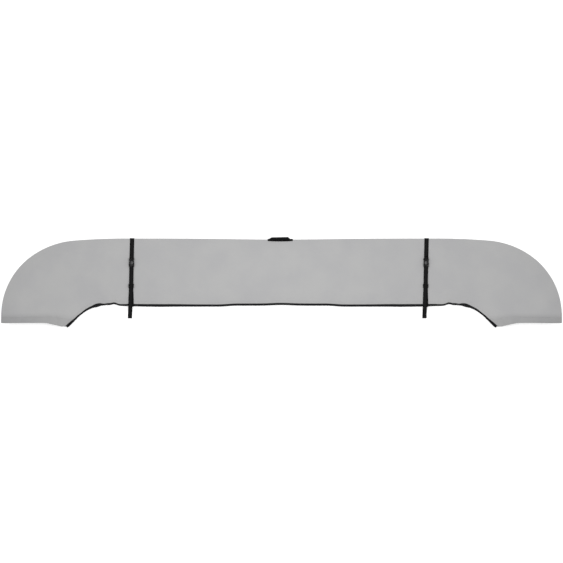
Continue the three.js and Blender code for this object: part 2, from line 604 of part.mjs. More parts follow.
// The upper half: a base with a bar for the webbing, a guide and two prongs with catches.
function bucklePlug() {
  const { half, thick, width, slot } = BUCKLE;
  const barTo = half - BUCKLE.bar;
  const baseFrom = BUCKLE_JOINT.y + BUCKLE_JOINT.gap;
  const base = roundedRectangle(-width / 2, width / 2, baseFrom, half, CORNERS.plug);
  base.holes.push(slotHole(barTo - slot, barTo));
  const body = solid(plate(base, 0, thick));
  const barThinner = (thick - BUCKLE.bar) / 2;
  const overBar = solid(box(-width, width, barTo, half + 1, thick - barThinner, thick + 1));
  const underBar = solid(box(-width, width, barTo, half + 1, -1, barThinner));
  const [low, high] = [(thick - PRONG.thick) / 2, (thick + PRONG.thick) / 2];
  const { inner, outer, tab, tabFrom, tabTo, tip } = PRONG;
  const { tipAcross, tipAlong, catchSlope, guideHalf } = PRONG_EDGES;
  const root = BUCKLE_JOINT.y + PRONG.root;
  const guide = solid(box(-guideHalf, guideHalf, tip, root, low, high));
  const prong = new THREE.Shape();
  prong.moveTo(inner, tip).lineTo(outer - tipAcross, tip).lineTo(outer, tip + tipAlong);
  prong.lineTo(outer, tabFrom).lineTo(tab, tabFrom + catchSlope);
  prong.lineTo(tab, tabTo).lineTo(outer, root).lineTo(inner, root);
  const right = solid(plate(prong, low, high));
  const left = right.mirror([1, 0, 0]);
  return geometryOf(body.subtract(overBar).subtract(underBar).add(guide).add(right).add(left));
}

function triglide() {
  const { half, width, thick } = TRIGLIDE;
  const frame = roundedRectangle(-width / 2, width / 2, -half, half, CORNERS.triglide);
  const holeHalf = width / 2 - GLIDE_BARS.rail;
  const [inner, outer] = [GLIDE_BARS.middle / 2, half - GLIDE_BARS.end];
  for (const [low, high] of [[-outer, -inner], [inner, outer]]) {
    frame.holes.push(roundedRectangle(-holeHalf, holeHalf, low, high, GLIDE_BARS.corner));
  }
  return plate(frame, 0, thick);
}

function placed(name, geometry, material, x, y, z) {
  const mesh = new THREE.Mesh(geometry, material.clone());
  mesh.name = name;
  mesh.position.set(x, y, z);
  return mesh;
}
function strapSet(side, x) {
  const group = new THREE.Group();
  const atBuckle = x + readTable(STRAP_LEAN, BUCKLE.y);
  const atGlide = x + readTable(STRAP_LEAN, TRIGLIDE.y);
  const buckleZ = webRest(x, BUCKLE.y);
  const glideZ = webRest(x, TRIGLIDE.y) + 2 * LAYER;
  group.add(
    placed(`strap_${side}`, strap(x), webbing, 0, 0, 0),
    placed(`buckle_socket_${side}`, buckleSocket(), plastic, atBuckle, BUCKLE.y, buckleZ),
    placed(`buckle_plug_${side}`, bucklePlug(), plastic, atBuckle, BUCKLE.y, buckleZ),
    placed(`triglide_${side}`, triglide(), plastic, atGlide, TRIGLIDE.y, glideZ),
  );
  return group;
}

// ---------------------------------------------------------------- handle
// The base strip in section, from its back edge on the floor round the rim to its front edge, which
// lies on the front panel. out is measured outwards from the rim.
const BASE_FOLD = [
  { out: 0.6, z: WEB / 2 },
  { out: 2.2, z: 1.7 },
  { out: 2.9, z: 3.4 },
  { out: 2, z: 5 },
];
function handleBase() {
  const grid = range(HANDLE.stations + 1).map((i) => {
    const t = lerp(-1, 1, i / HANDLE.stations);
    const x = HANDLE.x + HANDLE.half * t;
    const reach = lerp(HANDLE.reach, HANDLE.endReach, t * t);
    const rim = rimY(x);
    const onFront = (out) => new THREE.Vector3(x, rim + out, frontTop(x, rim + out) + GAP + WEB / 2);
    const at = (out, z) => new THREE.Vector3(x, rim + out, z);
    return [
      at(-HANDLE.reach, WEB / 2),
      ...BASE_FOLD.map(({ out, z }) => at(out, z)),
      onFront(-HANDLE.shoulder),
      onFront(-reach / 2 - HANDLE.lap),
      onFront(-reach),
    ];
  });
  return sheet(grid, WEB);
}

// The grip in section, from its outer edge in: over the base strip at its sewn ends, and standing off
// the rim along the rest. It leans a little, so that its right end stands out further.
const GRIP_SEWN = [{ out: 5.2, z: 6.6 }, { out: 2, z: 8.2 }, { out: -1.4, z: 9.1 }, { out: -4.6, z: 9.8 }];
const GRIP_FREE = [{ out: 11.2, z: 11.6 }, { out: 8.2, z: 11.1 }, { out: 5, z: 10.1 }, { out: 1.8, z: 8.9 }];
function handleGrip() {
  const grid = range(GRIP.stations + 1).map((i) => {
    const x = lerp(GRIP.from, GRIP.to, i / GRIP.stations);
    const free = smoothstep(x - GRIP.from, 0, GRIP.leftSlope) * smoothstep(GRIP.to - x, 0, GRIP.rightSlope);
    const y = rimY(x) + GRIP.tilt * (x - HANDLE.x);
    return GRIP_SEWN.map((sewn, k) => {
      const out = lerp(sewn.out, GRIP_FREE[k].out, free);
      return new THREE.Vector3(x, y + out, lerp(sewn.z, GRIP_FREE[k].z, free));
    });
  });
  return sheet(grid, GRIP.thick);
}

// ---------------------------------------------------------------- the whole cover
const cover = new THREE.Group();
cover.add(
  placed('front_panel', frontPanel(), canvas, 0, 0, 0),
  placed('back_panel', backPanel(), canvas, 0, 0, 0),
  placed('zip_tape_front', tape([...FRONT_TAPE].reverse()), zipTape, 0, 0, 0),
  placed('zip_tape_back', tape([...BACK_TAPE].reverse()), zipTape, 0, 0, 0),
  placed('zip_chain', zipChain(), nylon, 0, 0, 0),
  zipSlider('zip_slider_left', columns[0], columns[1], 1),
  zipSlider('zip_slider_right', columns.at(-1), columns.at(-2), -1),
  ...Object.entries(STRAP_XS).map(([side, x]) => strapSet(side, x)),
  placed('handle_base', handleBase(), webbing, 0, 0, 0),
  placed('handle_grip', handleGrip(), webbing, 0, 0, 0),
);

// The origin is on the floor, under the middle of the cover's box.
const extent = new THREE.Box3().setFromObject(cover, true);
const middle = extent.getCenter(new THREE.Vector3());
cover.position.set(-middle.x, -middle.y, -extent.min.z);

export default cover;
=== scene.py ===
# %% [markdown]
# # The storage boot of a boat canopy, lying empty
#
# When a boat's canopy is folded away, its frame and rolled cloth go into a long sleeve called a boot.
# This one is grey coated canvas. Two panels meet in a seam along the rim at the top, a zip closes the
# other side, and the ends bend down into two open mouths that the legs of the frame come out of. Two
# webbing straps with side-release buckles go round it, and a short webbing handle sits on the rim.
#
# It lies on its back, with the zip towards -Y and the rim towards +Y. Its construction is already
# settled as plain solids. This lesson loads them and makes the surfaces that the eye sees: cloth with
# folds and hems, a zip with its coil, woven straps, stitches and moulded plastic.

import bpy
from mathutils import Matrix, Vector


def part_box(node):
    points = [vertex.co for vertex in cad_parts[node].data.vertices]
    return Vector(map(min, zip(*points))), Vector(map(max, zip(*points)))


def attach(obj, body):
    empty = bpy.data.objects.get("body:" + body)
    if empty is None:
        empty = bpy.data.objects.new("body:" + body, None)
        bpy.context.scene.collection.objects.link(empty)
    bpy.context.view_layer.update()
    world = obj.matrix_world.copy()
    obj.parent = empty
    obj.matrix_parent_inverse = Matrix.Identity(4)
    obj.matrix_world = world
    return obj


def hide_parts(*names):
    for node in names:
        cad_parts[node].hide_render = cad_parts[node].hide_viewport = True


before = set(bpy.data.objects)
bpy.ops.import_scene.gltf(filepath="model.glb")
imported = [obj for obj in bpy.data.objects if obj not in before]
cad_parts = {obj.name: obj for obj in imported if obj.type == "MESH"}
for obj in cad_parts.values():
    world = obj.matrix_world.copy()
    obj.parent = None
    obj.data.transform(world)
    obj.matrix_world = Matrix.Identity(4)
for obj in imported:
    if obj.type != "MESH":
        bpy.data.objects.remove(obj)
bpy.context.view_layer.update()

# %% Libraries and units
import math

import bpy
import numpy as np

MM = 0.001
rng = np.random.default_rng(58)

# %% [markdown]
# ## The pattern of the sleeve
#
# A sailmaker draws a sleeve like this as a flat pattern with two long edges, the rim and the zip line,
# each made of straight runs and bends. One could draw both with the pen tool and fill a curve between
# them. Here they are worked out, in millimetres, from the same few sizes as the solids, so that the
# cloth lands exactly where the zip, the straps and the handle expect it.
#
# Everything is placed by columns. A column runs across the sleeve, from a point of the zip line to the
# point of the rim that it faces. Next to a mouth the columns run along the hem, so that the hem's fold
# and its stitches follow whole columns.

# %% Sizes of the pattern, in millimetres up from the hem line
HALF_LENGTH, SPRING = 1300, 720
MOUTH = {"inner": (-982, -16), "dip": 16, "flat_from": 0.35, "fade": 0.3}
TUCK = {"by": 7.5, "from": 6, "to": 52}  # how far the zip's ends are tucked in, and where that fades
RIM_RUNS = [(34.8, 338.4, 54.2), (0, 391.5, 31.2), (0, 3048, 4.6)]  # straight, bend radius, degrees
ZIP_RUNS = [(82, 133, 45), (110, 0, 0)]
RIM_LINE = {"y": 391.6, "sag": 4.8, "sag_wide": 300}
ZIP_LINE = {"y": 75.5, "end_rise": 6}
ZIP_STEPS = [(295, 205, 4.4), (610, 830, ZIP_LINE["end_rise"])]  # from, to, rise
ZIP_BUMPS = [  # where, how wide, rise
    (0, 60, 3), (560, 45, -0.8), (776, 16, 6.8), (808, 14, 1.5),
    (854, 15, -3.5), (885, 35, -3.5), (940, 14, 3),
]


def bell(offset, wide):
    """A bump of height 1: e to the minus (offset / wide) squared."""
    return np.exp(-((offset / wide) ** 2))


def ease(x, low, high):
    """0 at low and 1 at high, and t * t * (3 - 2 t) between, where t is the share of the way."""
    t = np.clip((x - low) / (high - low), 0, 1)
    return t * t * (3 - 2 * t)


def rim_y(x):
    """The rim in the straight middle: level, with a shallow sag at the handle."""
    return RIM_LINE["y"] - RIM_LINE["sag"] * bell(x, RIM_LINE["sag_wide"])


def zip_rise(x):
    """The wandering of the zip line: eased steps and small bumps, the same on both sides."""
    far = np.abs(x)
    steps = sum(rise * ease(far, start, end) for start, end, rise in ZIP_STEPS)
    return steps + sum(rise * bell(far - at, wide) for at, wide, rise in ZIP_BUMPS)


def zip_y(x):
    return ZIP_LINE["y"] + zip_rise(x)


# %% Edges as straight runs and bends
def run_of(heading, radius, t):
    """The way covered after a distance t. On a straight it is t along the heading a. Round a bend to the
    right it is radius * (sin a - sin b, cos b - cos a), where b = a - t / radius."""
    if radius == 0:
        return np.stack([np.cos(heading) * t, np.sin(heading) * t], -1)
    after = heading - t / radius
    return radius * np.stack([np.sin(heading) - np.sin(after), np.cos(after) - np.cos(heading)], -1)


def stretches(runs):
    """Each run and each bend as its own stretch: (length, bend radius or 0)."""
    pairs = [((run, 0), (radius * math.radians(degrees), radius)) for run, radius, degrees in runs]
    return [stretch for pair in pairs for stretch in pair if stretch[0] > 0]


def path_length(runs):
    return sum(length for length, _ in stretches(runs))


def pattern_path(start, heading_deg, runs, at):
    """Points and headings at the distances `at` along a path of runs and bends."""
    place, heading, done = np.array(start, float), math.radians(heading_deg), 0.0
    points, headings = np.zeros((len(at), 2)), np.zeros(len(at))
    for length, radius in stretches(runs):
        here = at >= done
        points[here] = place + run_of(heading, radius, at[here] - done)
        headings[here] = heading - ((at[here] - done) / radius if radius else 0)
        place = place + run_of(heading, radius, np.array(length))
        heading -= length / radius if radius else 0
        done += length
    return points, headings


# %% The columns
HEM = {"deep": 25, "stitch": 24.2, "shade_from": 48, "roll": 3.2, "roll_wide": 5}
# Painted shade, a darker colour in place of the shade of the doubled hem and its rolled edge: how much of it
# the hems get at each distance from the middle, and where it runs along the edges of the outer corners.
HEM_SHADE = [(990, 0.23), (1150, 0.39)]  # distance from the middle, how dull
EDGE_SHADE = {"wide": 4, "from": 1130, "full": 1260}
COLUMN_PITCH = {"end": 6.6, "middle": 5.0}
MOUTH_COLUMNS = np.array([0, 0.1, 0.3, 0.6, 1, 1.8, 3.2, 5.5, 8.5, 12, 15.5, 18.5, 20.8, 22.4, 23.4,
                          HEM["stitch"], 25, 25.8, 27, 29.5, 33, 38, 44, 50.5])
HEM_TURN = 58  # up to here the columns run along the hem, which meets the zip at 45 degrees
MITRE = math.sqrt(2)


def end_columns():
    """Columns of the left end, from its mouth inwards. Each has its rim point, its zip point, the zip's
    normal into the sleeve, the step in plan for each millimetre of inset, and how mouthward it is."""
    rim_length, zip_length = path_length(RIM_RUNS), path_length(ZIP_RUNS)
    rest = np.arange(MOUTH_COLUMNS[-1] + COLUMN_PITCH["end"], rim_length - 3, COLUMN_PITCH["end"])
    at_rim = np.concatenate([MOUTH_COLUMNS, rest])
    at_zip = np.interp(at_rim, [0, HEM_TURN, rim_length], [0, HEM_TURN * MITRE, zip_length])
    rim, _ = pattern_path((-HALF_LENGTH, 0), 90, RIM_RUNS, at_rim)
    zip_line, heading = pattern_path(MOUTH["inner"], 45, ZIP_RUNS, at_zip)
    normal = np.stack([-np.sin(heading), np.cos(heading)], -1)
    turn = ease(at_zip, 0, 30)[:, None]
    inward = np.array([-MITRE, 0]) * (1 - turn) + normal * turn
    zip_line[:, 1] += zip_rise(zip_line[:, 0]) - ZIP_LINE["end_rise"]
    zip_line[:, 0] -= TUCK["by"] * (1 - ease(at_zip, TUCK["from"], TUCK["to"]))
    return rim, zip_line, normal, inward, 1 - at_rim / rim_length


def all_columns():
    """The left end, the straight middle and the mirrored right end, as one set of arrays."""
    *end, mouthward = end_columns()
    x = np.linspace(-SPRING, SPRING, int(2 * SPRING / COLUMN_PITCH["middle"]) + 1)
    up = np.tile([0.0, 1.0], (len(x), 1))
    middle = [np.stack([x, rim_y(x)], -1), np.stack([x, zip_y(x)], -1), up, up]
    flip = np.array([-1, 1])
    joined = [np.concatenate([left, mid, (left * flip)[::-1]]) for left, mid in zip(end, middle)]
    return *joined, np.concatenate([mouthward, np.zeros(len(x)), mouthward[::-1]])


RIM, ZIP, NORMAL, INWARD, MOUTHWARD = all_columns()
PATTERN_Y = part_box("back_panel")[1].y / MM - RIM[:, 1].max()  # from the pattern's y to the frame's
hem_column = int(np.argmin(np.abs(MOUTH_COLUMNS - HEM["stitch"])))
HEM_COLUMNS = [hem_column, len(RIM) - 1 - hem_column]
print(len(RIM), "columns; the pattern's hem line lies at y =", round(PATTERN_Y, 2), "mm in the frame")


def in_plan(inset, v):
    """Points of a panel in plan: v runs from 0 at its sewn edge, inset from the zip line, to 1 at the
    rim. Near a mouth the rows follow the hem, which dips towards the zip."""
    start = ZIP + INWARD * inset[:, None]
    points = start[:, None] * (1 - v[..., None]) + RIM[:, None] * v[..., None]
    hem = -MOUTH["dip"] * (1 - ease(v, 0, MOUTH["flat_from"]))
    straight = MOUTH["inner"][1] * (1 - v)
    points[..., 1] += (hem - straight) * ease(MOUTHWARD, 1 - MOUTH["fade"], 1)[:, None]
    return points


# %% [markdown]
# ## Meshes from arrays
#
# Every woven piece here is a thin sheet with two faces. Blender's Solidify modifier could thicken a
# single surface, but a cut or folded edge would then be a sharp step. The function below builds both
# faces itself: it moves the middle surface out and in along its normals by half the cloth's thickness.
# Along the border that half thickness shrinks to nothing, in the curve of a quarter circle, so the two
# faces meet in a soft round edge.

# %% Mesh helpers
def to_frame(points):
    """Pattern millimetres to the frame's metres."""
    return (points + np.array([0, PATTERN_Y, 0])) * MM


def placed(name, data, at=(0, 0, 0)):
    """A new object in the scene."""
    made = bpy.data.objects.new(name, data)
    made.location = at
    bpy.context.scene.collection.objects.link(made)
    return made


def make_object(name, points, faces, uv=None, **marks):
    """An object from points in metres and arrays of triangles and quads. uv has one row a point, and
    each mark is one number a point that a material can read."""
    mesh = bpy.data.meshes.new(name)
    corners = np.concatenate([face.ravel() for face in faces])
    sizes = np.concatenate([np.full(len(face), face.shape[1]) for face in faces])
    mesh.vertices.add(len(points))
    mesh.vertices.foreach_set("co", points.astype(np.float32).ravel())
    mesh.loops.add(len(corners))
    mesh.loops.foreach_set("vertex_index", corners.astype(np.int32))
    mesh.polygons.add(len(sizes))
    mesh.polygons.foreach_set("loop_start", np.concatenate([[0], np.cumsum(sizes)[:-1]]).astype(np.int32))
    mesh.polygons.foreach_set("loop_total", sizes.astype(np.int32))
    mesh.polygons.foreach_set("use_smooth", np.ones(len(sizes), bool))
    mesh.update(calc_edges=True)
    if uv is not None:
        layer = mesh.uv_layers.new(name="UVMap")
        layer.data.foreach_set("uv", uv[corners].astype(np.float32).ravel())
    for mark, values in marks.items():
        mesh.attributes.new(mark, "FLOAT", "POINT").data.foreach_set("value", values.astype(np.float32))
    return placed(name, mesh)


def grid_faces(index):
    """Quads of a grid of point numbers, anticlockwise seen from the side of its normal."""
    corners = [index[:-1, :-1], index[1:, :-1], index[1:, 1:], index[:-1, 1:]]
    return np.stack(corners, -1).reshape(-1, 4)


def wrapped(index, axis):
    """Point numbers with the first row or column again at the end, which closes a ring."""
    return np.concatenate([index, np.take(index, [0], axis)], axis)


def numbered(rings):
    """The point numbers of a stack of rings, each ring closed."""
    return wrapped(np.arange(rings[..., 0].size).reshape(rings.shape[:2]), 1)


def looped(rings):
    """Rings joined into a skin, the last one to the first."""
    return rings.reshape(-1, 3), grid_faces(wrapped(numbered(rings), 0))


def capped(rings, tips):
    """Rings joined into a skin, which a point at each end closes."""
    count, ring = rings.shape[:2]
    index = numbered(rings)
    first, last = index[0], index[-1]
    fans = [np.stack([np.full(ring, count * ring), first[1:], first[:-1]], -1),
            np.stack([np.full(ring, count * ring + 1), last[:-1], last[1:]], -1)]
    return np.concatenate([rings.reshape(-1, 3), tips]), [grid_faces(index)[:, ::-1], np.concatenate(fans)]


def unit(vectors):
    return vectors / np.maximum(np.linalg.norm(vectors, axis=-1, keepdims=True), 1e-9)


def tangents(grid, axis):
    """Directions along one axis of a grid: the unit step before each point plus the one after it."""
    steps = unit(np.diff(grid, axis=axis))
    first, last = np.take(steps, [0], axis), np.take(steps, [-1], axis)
    return unit(np.concatenate([first, steps], axis) + np.concatenate([steps, last], axis))


def normals_of(grid):
    """The cross product of a grid's two directions."""
    return unit(np.cross(tangents(grid, 0), tangents(grid, 1)))


def closed_sheet(name, middle, half, uv, **marks):
    """A cloth about the grid `middle`, in pattern millimetres. Its faces lie `half` out and in along the
    normal, and where half is 0, along the border, they share their points."""
    normal = normals_of(middle) * half[..., None]
    upper = np.arange(half.size).reshape(half.shape)
    lower = np.where(half > 0, upper + half.size, upper)
    points = np.concatenate([(middle + normal).reshape(-1, 3), (middle - normal).reshape(-1, 3)])
    faces = np.concatenate([grid_faces(upper), grid_faces(lower)[:, ::-1]])
    used, faces = np.unique(faces, return_inverse=True)
    both = {mark: np.tile(values.ravel(), 2)[used] for mark, values in marks.items()}
    return make_object(name, to_frame(points[used]), [faces.reshape(-1, 4)],
                       np.tile(uv.reshape(-1, 2), (2, 1))[used], **both)


NEAR_EDGE = np.array([0.1, 0.35, 1.0])  # stations beside an edge, as shares of its width


def nose(distance, thickness):
    """The round edge of a cloth: a quarter circle, 0 at the edge and 1 from half a thickness in."""
    t = np.clip(2 * distance / thickness, 0, 1)
    return np.sqrt(1 - (1 - t) ** 2)


def from_nearer(run, axis):
    """Distances from the start of a run as distances from whichever end is nearer."""
    return np.minimum(run, np.take(run, [-1], axis) - run)


def strip_half(thick, along, across):
    """Half the thickness of a woven strip, which shrinks to nothing at its ends and its sides."""
    return thick / 2 * nose(from_nearer(along, 0), thick) * nose(from_nearer(across, 1), thick)


def arc_length(points):
    """Distance along a line of points."""
    return np.concatenate([[0], np.cumsum(np.linalg.norm(np.diff(points, axis=0), axis=1))])


def read_at(distances, at, values):
    """Rows of values, known at the distances `at`, read at other distances."""
    return np.stack([np.interp(distances, at, column) for column in values.T], -1)


def read_table(table, at):
    """The second column of a table, read between its rows at values of the first."""
    return np.interp(at, *np.array(table, float).T)


# %% Node helpers
def linear(colour):
    """An sRGB hex colour as linear RGBA: ((c + 0.055) / 1.055) ** 2.4, or c / 12.92 where it is dark."""
    channels = [int(colour[i:i + 2], 16) / 255 for i in (1, 3, 5)]
    return *[c / 12.92 if c <= 0.04045 else ((c + 0.055) / 1.055) ** 2.4 for c in channels], 1.0


def add_node(tree, kind, inputs=None, **settings):
    """Adds a node. settings are its own properties, and each input is a value or a socket to link."""
    node = tree.nodes.new(kind)
    for name, value in settings.items():
        setattr(node, name, value)
    for name, value in (inputs or {}).items():
        if isinstance(value, bpy.types.NodeSocket):
            tree.links.new(value, node.inputs[name])
        else:
            node.inputs[name].default_value = value
    return node


def new_material(name):
    """A material and its empty node tree."""
    material = bpy.data.materials.new(name)
    material.use_nodes = True
    material.node_tree.nodes.clear()
    return material, material.node_tree


def coordinates(tree, kind):
    return add_node(tree, "ShaderNodeTexCoord").outputs[kind]


def bands(tree, vector, period_mm, direction="X", more=None):
    """Bands that repeat at this distance: a Wave Texture whose Scale is 2 pi / 20 / distance."""
    inputs = {"Vector": vector, "Scale": math.pi / 10 / (period_mm * MM), **(more or {})}
    return add_node(tree, "ShaderNodeTexWave", inputs, bands_direction=direction).outputs["Fac"]


def noise(tree, vector, scale, detail):
    inputs = {"Vector": vector, "Scale": scale, "Detail": detail}
    return add_node(tree, "ShaderNodeTexNoise", inputs).outputs["Fac"]


def reckoned(tree, operation, *values):
    """The answer of a Math node for these numbers or sockets."""
    return add_node(tree, "ShaderNodeMath", dict(enumerate(values)), operation=operation).outputs[0]


def between(tree, value, low, high):
    """A value from 0 to 1, spread from low to high."""
    inputs = {"Value": value, "To Min": low, "To Max": high}
    return add_node(tree, "ShaderNodeMapRange", inputs).outputs["Result"]


def mixed(tree, factor, a, b, **settings):
    """Two colours mixed by a factor. Each is an sRGB hex or a socket, and settings can say how."""
    a, b = [linear(colour) if isinstance(colour, str) else colour for colour in (a, b)]
    inputs = {"Factor": factor, "A": a, "B": b}
    return add_node(tree, "ShaderNodeMix", inputs, data_type="RGBA", **settings).outputs["Result"]


def bumped(tree, height, distance, strength):
    """The normals of a surface roughened by a height, which is multiplied by a distance in metres."""
    inputs = {"Height": height, "Distance": distance, "Strength": strength}
    return add_node(tree, "ShaderNodeBump", inputs).outputs["Normal"]


def shade(tree, look):
    """Ends a material: one shader with this look, joined to the output."""
    shader = add_node(tree, "ShaderNodeBsdfPrincipled", look)
    add_node(tree, "ShaderNodeOutputMaterial", {"Surface": shader.outputs["BSDF"]})


def settle(piece, material, slot, *stands_for):
    """Gives a piece its finish, ties it to the body, and hides the solids that it stands for."""
    piece.data.materials.append(material)
    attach(piece, "root")
    if stands_for:
        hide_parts(*stands_for)
    print(piece.name, "has", len(piece.data.polygons), "faces")


# %% [markdown]
# ### Coated polyester canvas
#
# Boat canvas is a plain weave of spun polyester with a coating that fills the gaps. To the eye it is a
# matt, slightly cool grey, even from afar. Close up it shows the weave's fine checker of raised
# threads. Nothing about it is perfectly flat: the dye and the coating vary over a hand's width. The
# outer parts of the hems and the edges of the outer corners get painted shade, a darker grey in place of
# the shade of the doubled hem and its rolled edge.
#
# Threads are 0.6 mm apart on the real cloth. They are drawn 1.2 mm apart, or the finest ones would
# only flicker. A plain weave is the product of two waves, one along each direction of the cloth.

# %% Material of the canvas
def canvas_material():
    material, tree = new_material("coated polyester canvas")
    uv, place = coordinates(tree, "UV"), coordinates(tree, "Object")
    weave = reckoned(tree, "MULTIPLY", bands(tree, uv, 1.2, "X"), bands(tree, uv, 1.2, "Y"))
    height = reckoned(tree, "MULTIPLY_ADD", noise(tree, place, 420, 2), 0.5, weave)
    mottle = noise(tree, place, 9, 3)
    tone = add_node(tree, "ShaderNodeValToRGB", {"Fac": mottle})
    for stop, at, colour in zip(tone.color_ramp.elements, (0.36, 0.64), ("#b5b5b6", "#b9b9b9")):
        stop.position, stop.color = at, linear(colour)
    # Painted shade: the hems and the edges of the outer corners are mixed towards a darker grey, in place of
    # the shade of the doubled cloth and its rolled edge.
    worn_hem = add_node(tree, "ShaderNodeAttribute", attribute_name="worn").outputs["Fac"]
    tone_with_painted_shade = mixed(tree, worn_hem, tone.outputs["Color"], "#8b8b8c")
    shade(tree, {"Base Color": mixed(tree, 0.05, tone_with_painted_shade, weave, blend_type="OVERLAY"),
                 "Roughness": between(tree, mottle, 0.76, 0.86),
                 "Normal": bumped(tree, height, 0.00012, 0.45), "Specular IOR Level": 0.22,
                 "Sheen Weight": 0.05, "Sheen Roughness": 0.5})
    return material


canvas = canvas_material()

# %% [markdown]
# ## How the cloth lies
#
# The empty sleeve keeps a little air. The back panel lies flat, and the front one arches from the zip
# up to about 24 mm and down to the rim. A cloth simulation could find this arch, but it would let the
# sleeve wander off its pattern, and coated canvas is stiff enough to keep its cut edges straight. So
# the arch is a formula: a quarter of a sine wave away from each edge, broad soft folds listed one by one,
# and small puckers where thread gathers the cloth, placed by a seeded random draw.

# %% Heights of the front panel
CLOTH = 0.9  # canvas as drawn: the real one is about 0.5 mm with its coating
LOFT = {"zip": 11, "middle": 24, "rim": 3.9, "from_zip": 62, "from_rim": 80, "mouth": 5, "mouth_fade": 0.45}
RISES_FROM = 10  # inset at which the front panel starts to rise from the zip
STRAP_XS = {"left": -696, "right": 670}
PRESS = {"deep": 3, "wide": 45}  # how the straps pull the arch down
LAYER = 1.5  # from one layer of webbing to the next
LIFT = {"full": 14, "fade": 30}  # cloth and zip lift over a strap that passes under them
FOLDS = [  # x, y, half-width along, half-width across, turn in degrees, rise
    (-1180, 232, 80, 16, 52, -1.6), (-1238, 118, 60, 14, 8, -1.2), (-1120, 70, 90, 24, 70, 1.4),
    (-1010, 150, 120, 40, 38, 1.6), (-850, 300, 130, 34, -20, -1.5), (-560, 175, 150, 46, 12, 1.4),
    (-330, 290, 170, 40, -6, -1.3), (-60, 190, 160, 55, 3, 1.2), (20, 345, 90, 30, 0, -1.2),
    (300, 255, 180, 50, 9, 1.5), (540, 200, 120, 36, -14, -1.4), (860, 285, 140, 38, 24, -1.6),
    (1020, 165, 110, 42, -44, 1.7), (1140, 60, 80, 20, -76, 1.3), (1205, 215, 90, 18, -50, -1.5),
]


def quarter_sine(t):
    return np.sin(math.pi / 2 * np.clip(t, 0, 1))


def ridges(x, y, rows):
    """Long soft ridges: for each row, a bell along its length times a bell across it, turned in plan."""
    total = 0
    for at_x, at_y, along, across, degrees, rise in rows:
        turn = math.radians(degrees)
        run = (x - at_x) * math.cos(turn) + (y - at_y) * math.sin(turn)
        side = (y - at_y) * math.cos(turn) - (x - at_x) * math.sin(turn)
        total = total + rise * bell(run, along) * bell(side, across)
    return total


def strap_lift(x):
    nearest = np.minimum(np.abs(x - STRAP_XS["left"]), np.abs(x - STRAP_XS["right"]))
    return LAYER * (1 - ease(nearest, LIFT["full"], LIFT["fade"]))


def front_height(x, y, inset, from_rim, mouthward):
    """The arch: the height at the zip, plus a quarter sine of the distance from the zip times the rest
    of the loft, then brought down to the rim by a quarter sine of the distance from the rim."""
    pressed = sum(bell(x - strap, PRESS["wide"]) for strap in STRAP_XS.values())
    mouth = LOFT["mouth"] * ease(mouthward, 1 - LOFT["mouth_fade"], 1)
    loft = LOFT["middle"] + mouth + ridges(x, y, FOLDS) - PRESS["deep"] * pressed
    at_zip = LOFT["zip"] + strap_lift(x)
    inner = at_zip + (loft - at_zip) * quarter_sine((inset - RISES_FROM) / LOFT["from_zip"])
    return LOFT["rim"] + (inner - LOFT["rim"]) * quarter_sine(from_rim / LOFT["from_rim"])


# %% Rows of a panel
PANEL_INSET = {"front": 10.6, "back": 12}
INSET_BUMPS = [  # where, how wide, how much further in
    (565, 120, 2.2), (755, 42, -2.4), (822, 12, -2), (854, 17, 6), (926, 22, -2.3)]
TOPSTITCH = (3.0, 11.0)  # rows of stitches, from a panel's sewn edge
NEAR_ZIP = np.array([0, 0.1, 0.3, 0.6, 1.1, 2, TOPSTITCH[0], 4, 5.5, 7.5, 9.5, TOPSTITCH[1],
                     12.2, 14, 17, 21, 26])
NEAR_RIM = np.array([10, 6.5, 4, 2.4, 1.4, 0.8, 0.4, 0.15, 0])
BETWEEN = 24


class Panel:
    """A panel's grid in plan, in rows at fixed distances near both long edges and evenly spread between
    them. Each point knows how far it is from the sewn edge, the rim and the hem."""

    def __init__(self, inset):
        across = RIM - (ZIP + INWARD * inset[:, None])
        long = np.linalg.norm(across, axis=1)[:, None]
        square = (unit(across) * NORMAL).sum(1)[:, None]  # how squarely a column leaves the zip edge
        low, high = NEAR_ZIP[-1] / square / long, 1 - NEAR_RIM[0] / long
        share = np.linspace(0, 1, BETWEEN + 2)[None, 1:-1]
        v = np.concatenate([NEAR_ZIP / square / long, low + (high - low) * share, 1 - NEAR_RIM / long], 1)
        self.plan = in_plan(inset, v)
        self.x, self.y = self.plan[..., 0], self.plan[..., 1]
        self.from_zip = v * long * square
        self.inset = self.from_zip + inset[:, None]
        self.from_rim = (1 - v) * long
        rim_run = arc_length(RIM)
        self.rim_run, self.zip_run = rim_run[:, None] + 0 * v, arc_length(ZIP)[:, None] + 0 * v
        self.from_hem = np.minimum(self.rim_run, rim_run[-1] - self.rim_run)
        self.mouthward = MOUTHWARD[:, None] + 0 * v

    def surface(self, z):
        return np.concatenate([self.plan, z[..., None]], axis=2)


def sewn_inset(side):
    """How far a panel's sewn edge lies from the zip line, column by column. The front one wanders."""
    bumps = INSET_BUMPS if side == "front" else []
    return PANEL_INSET[side] + sum((rise * bell(np.abs(ZIP[:, 0]) - at, wide) for at, wide, rise in bumps),
                                   np.zeros(len(ZIP)))


front, back = Panel(sewn_inset("front")), Panel(sewn_inset("back"))
print("panel grids:", front.x.shape, back.x.shape)

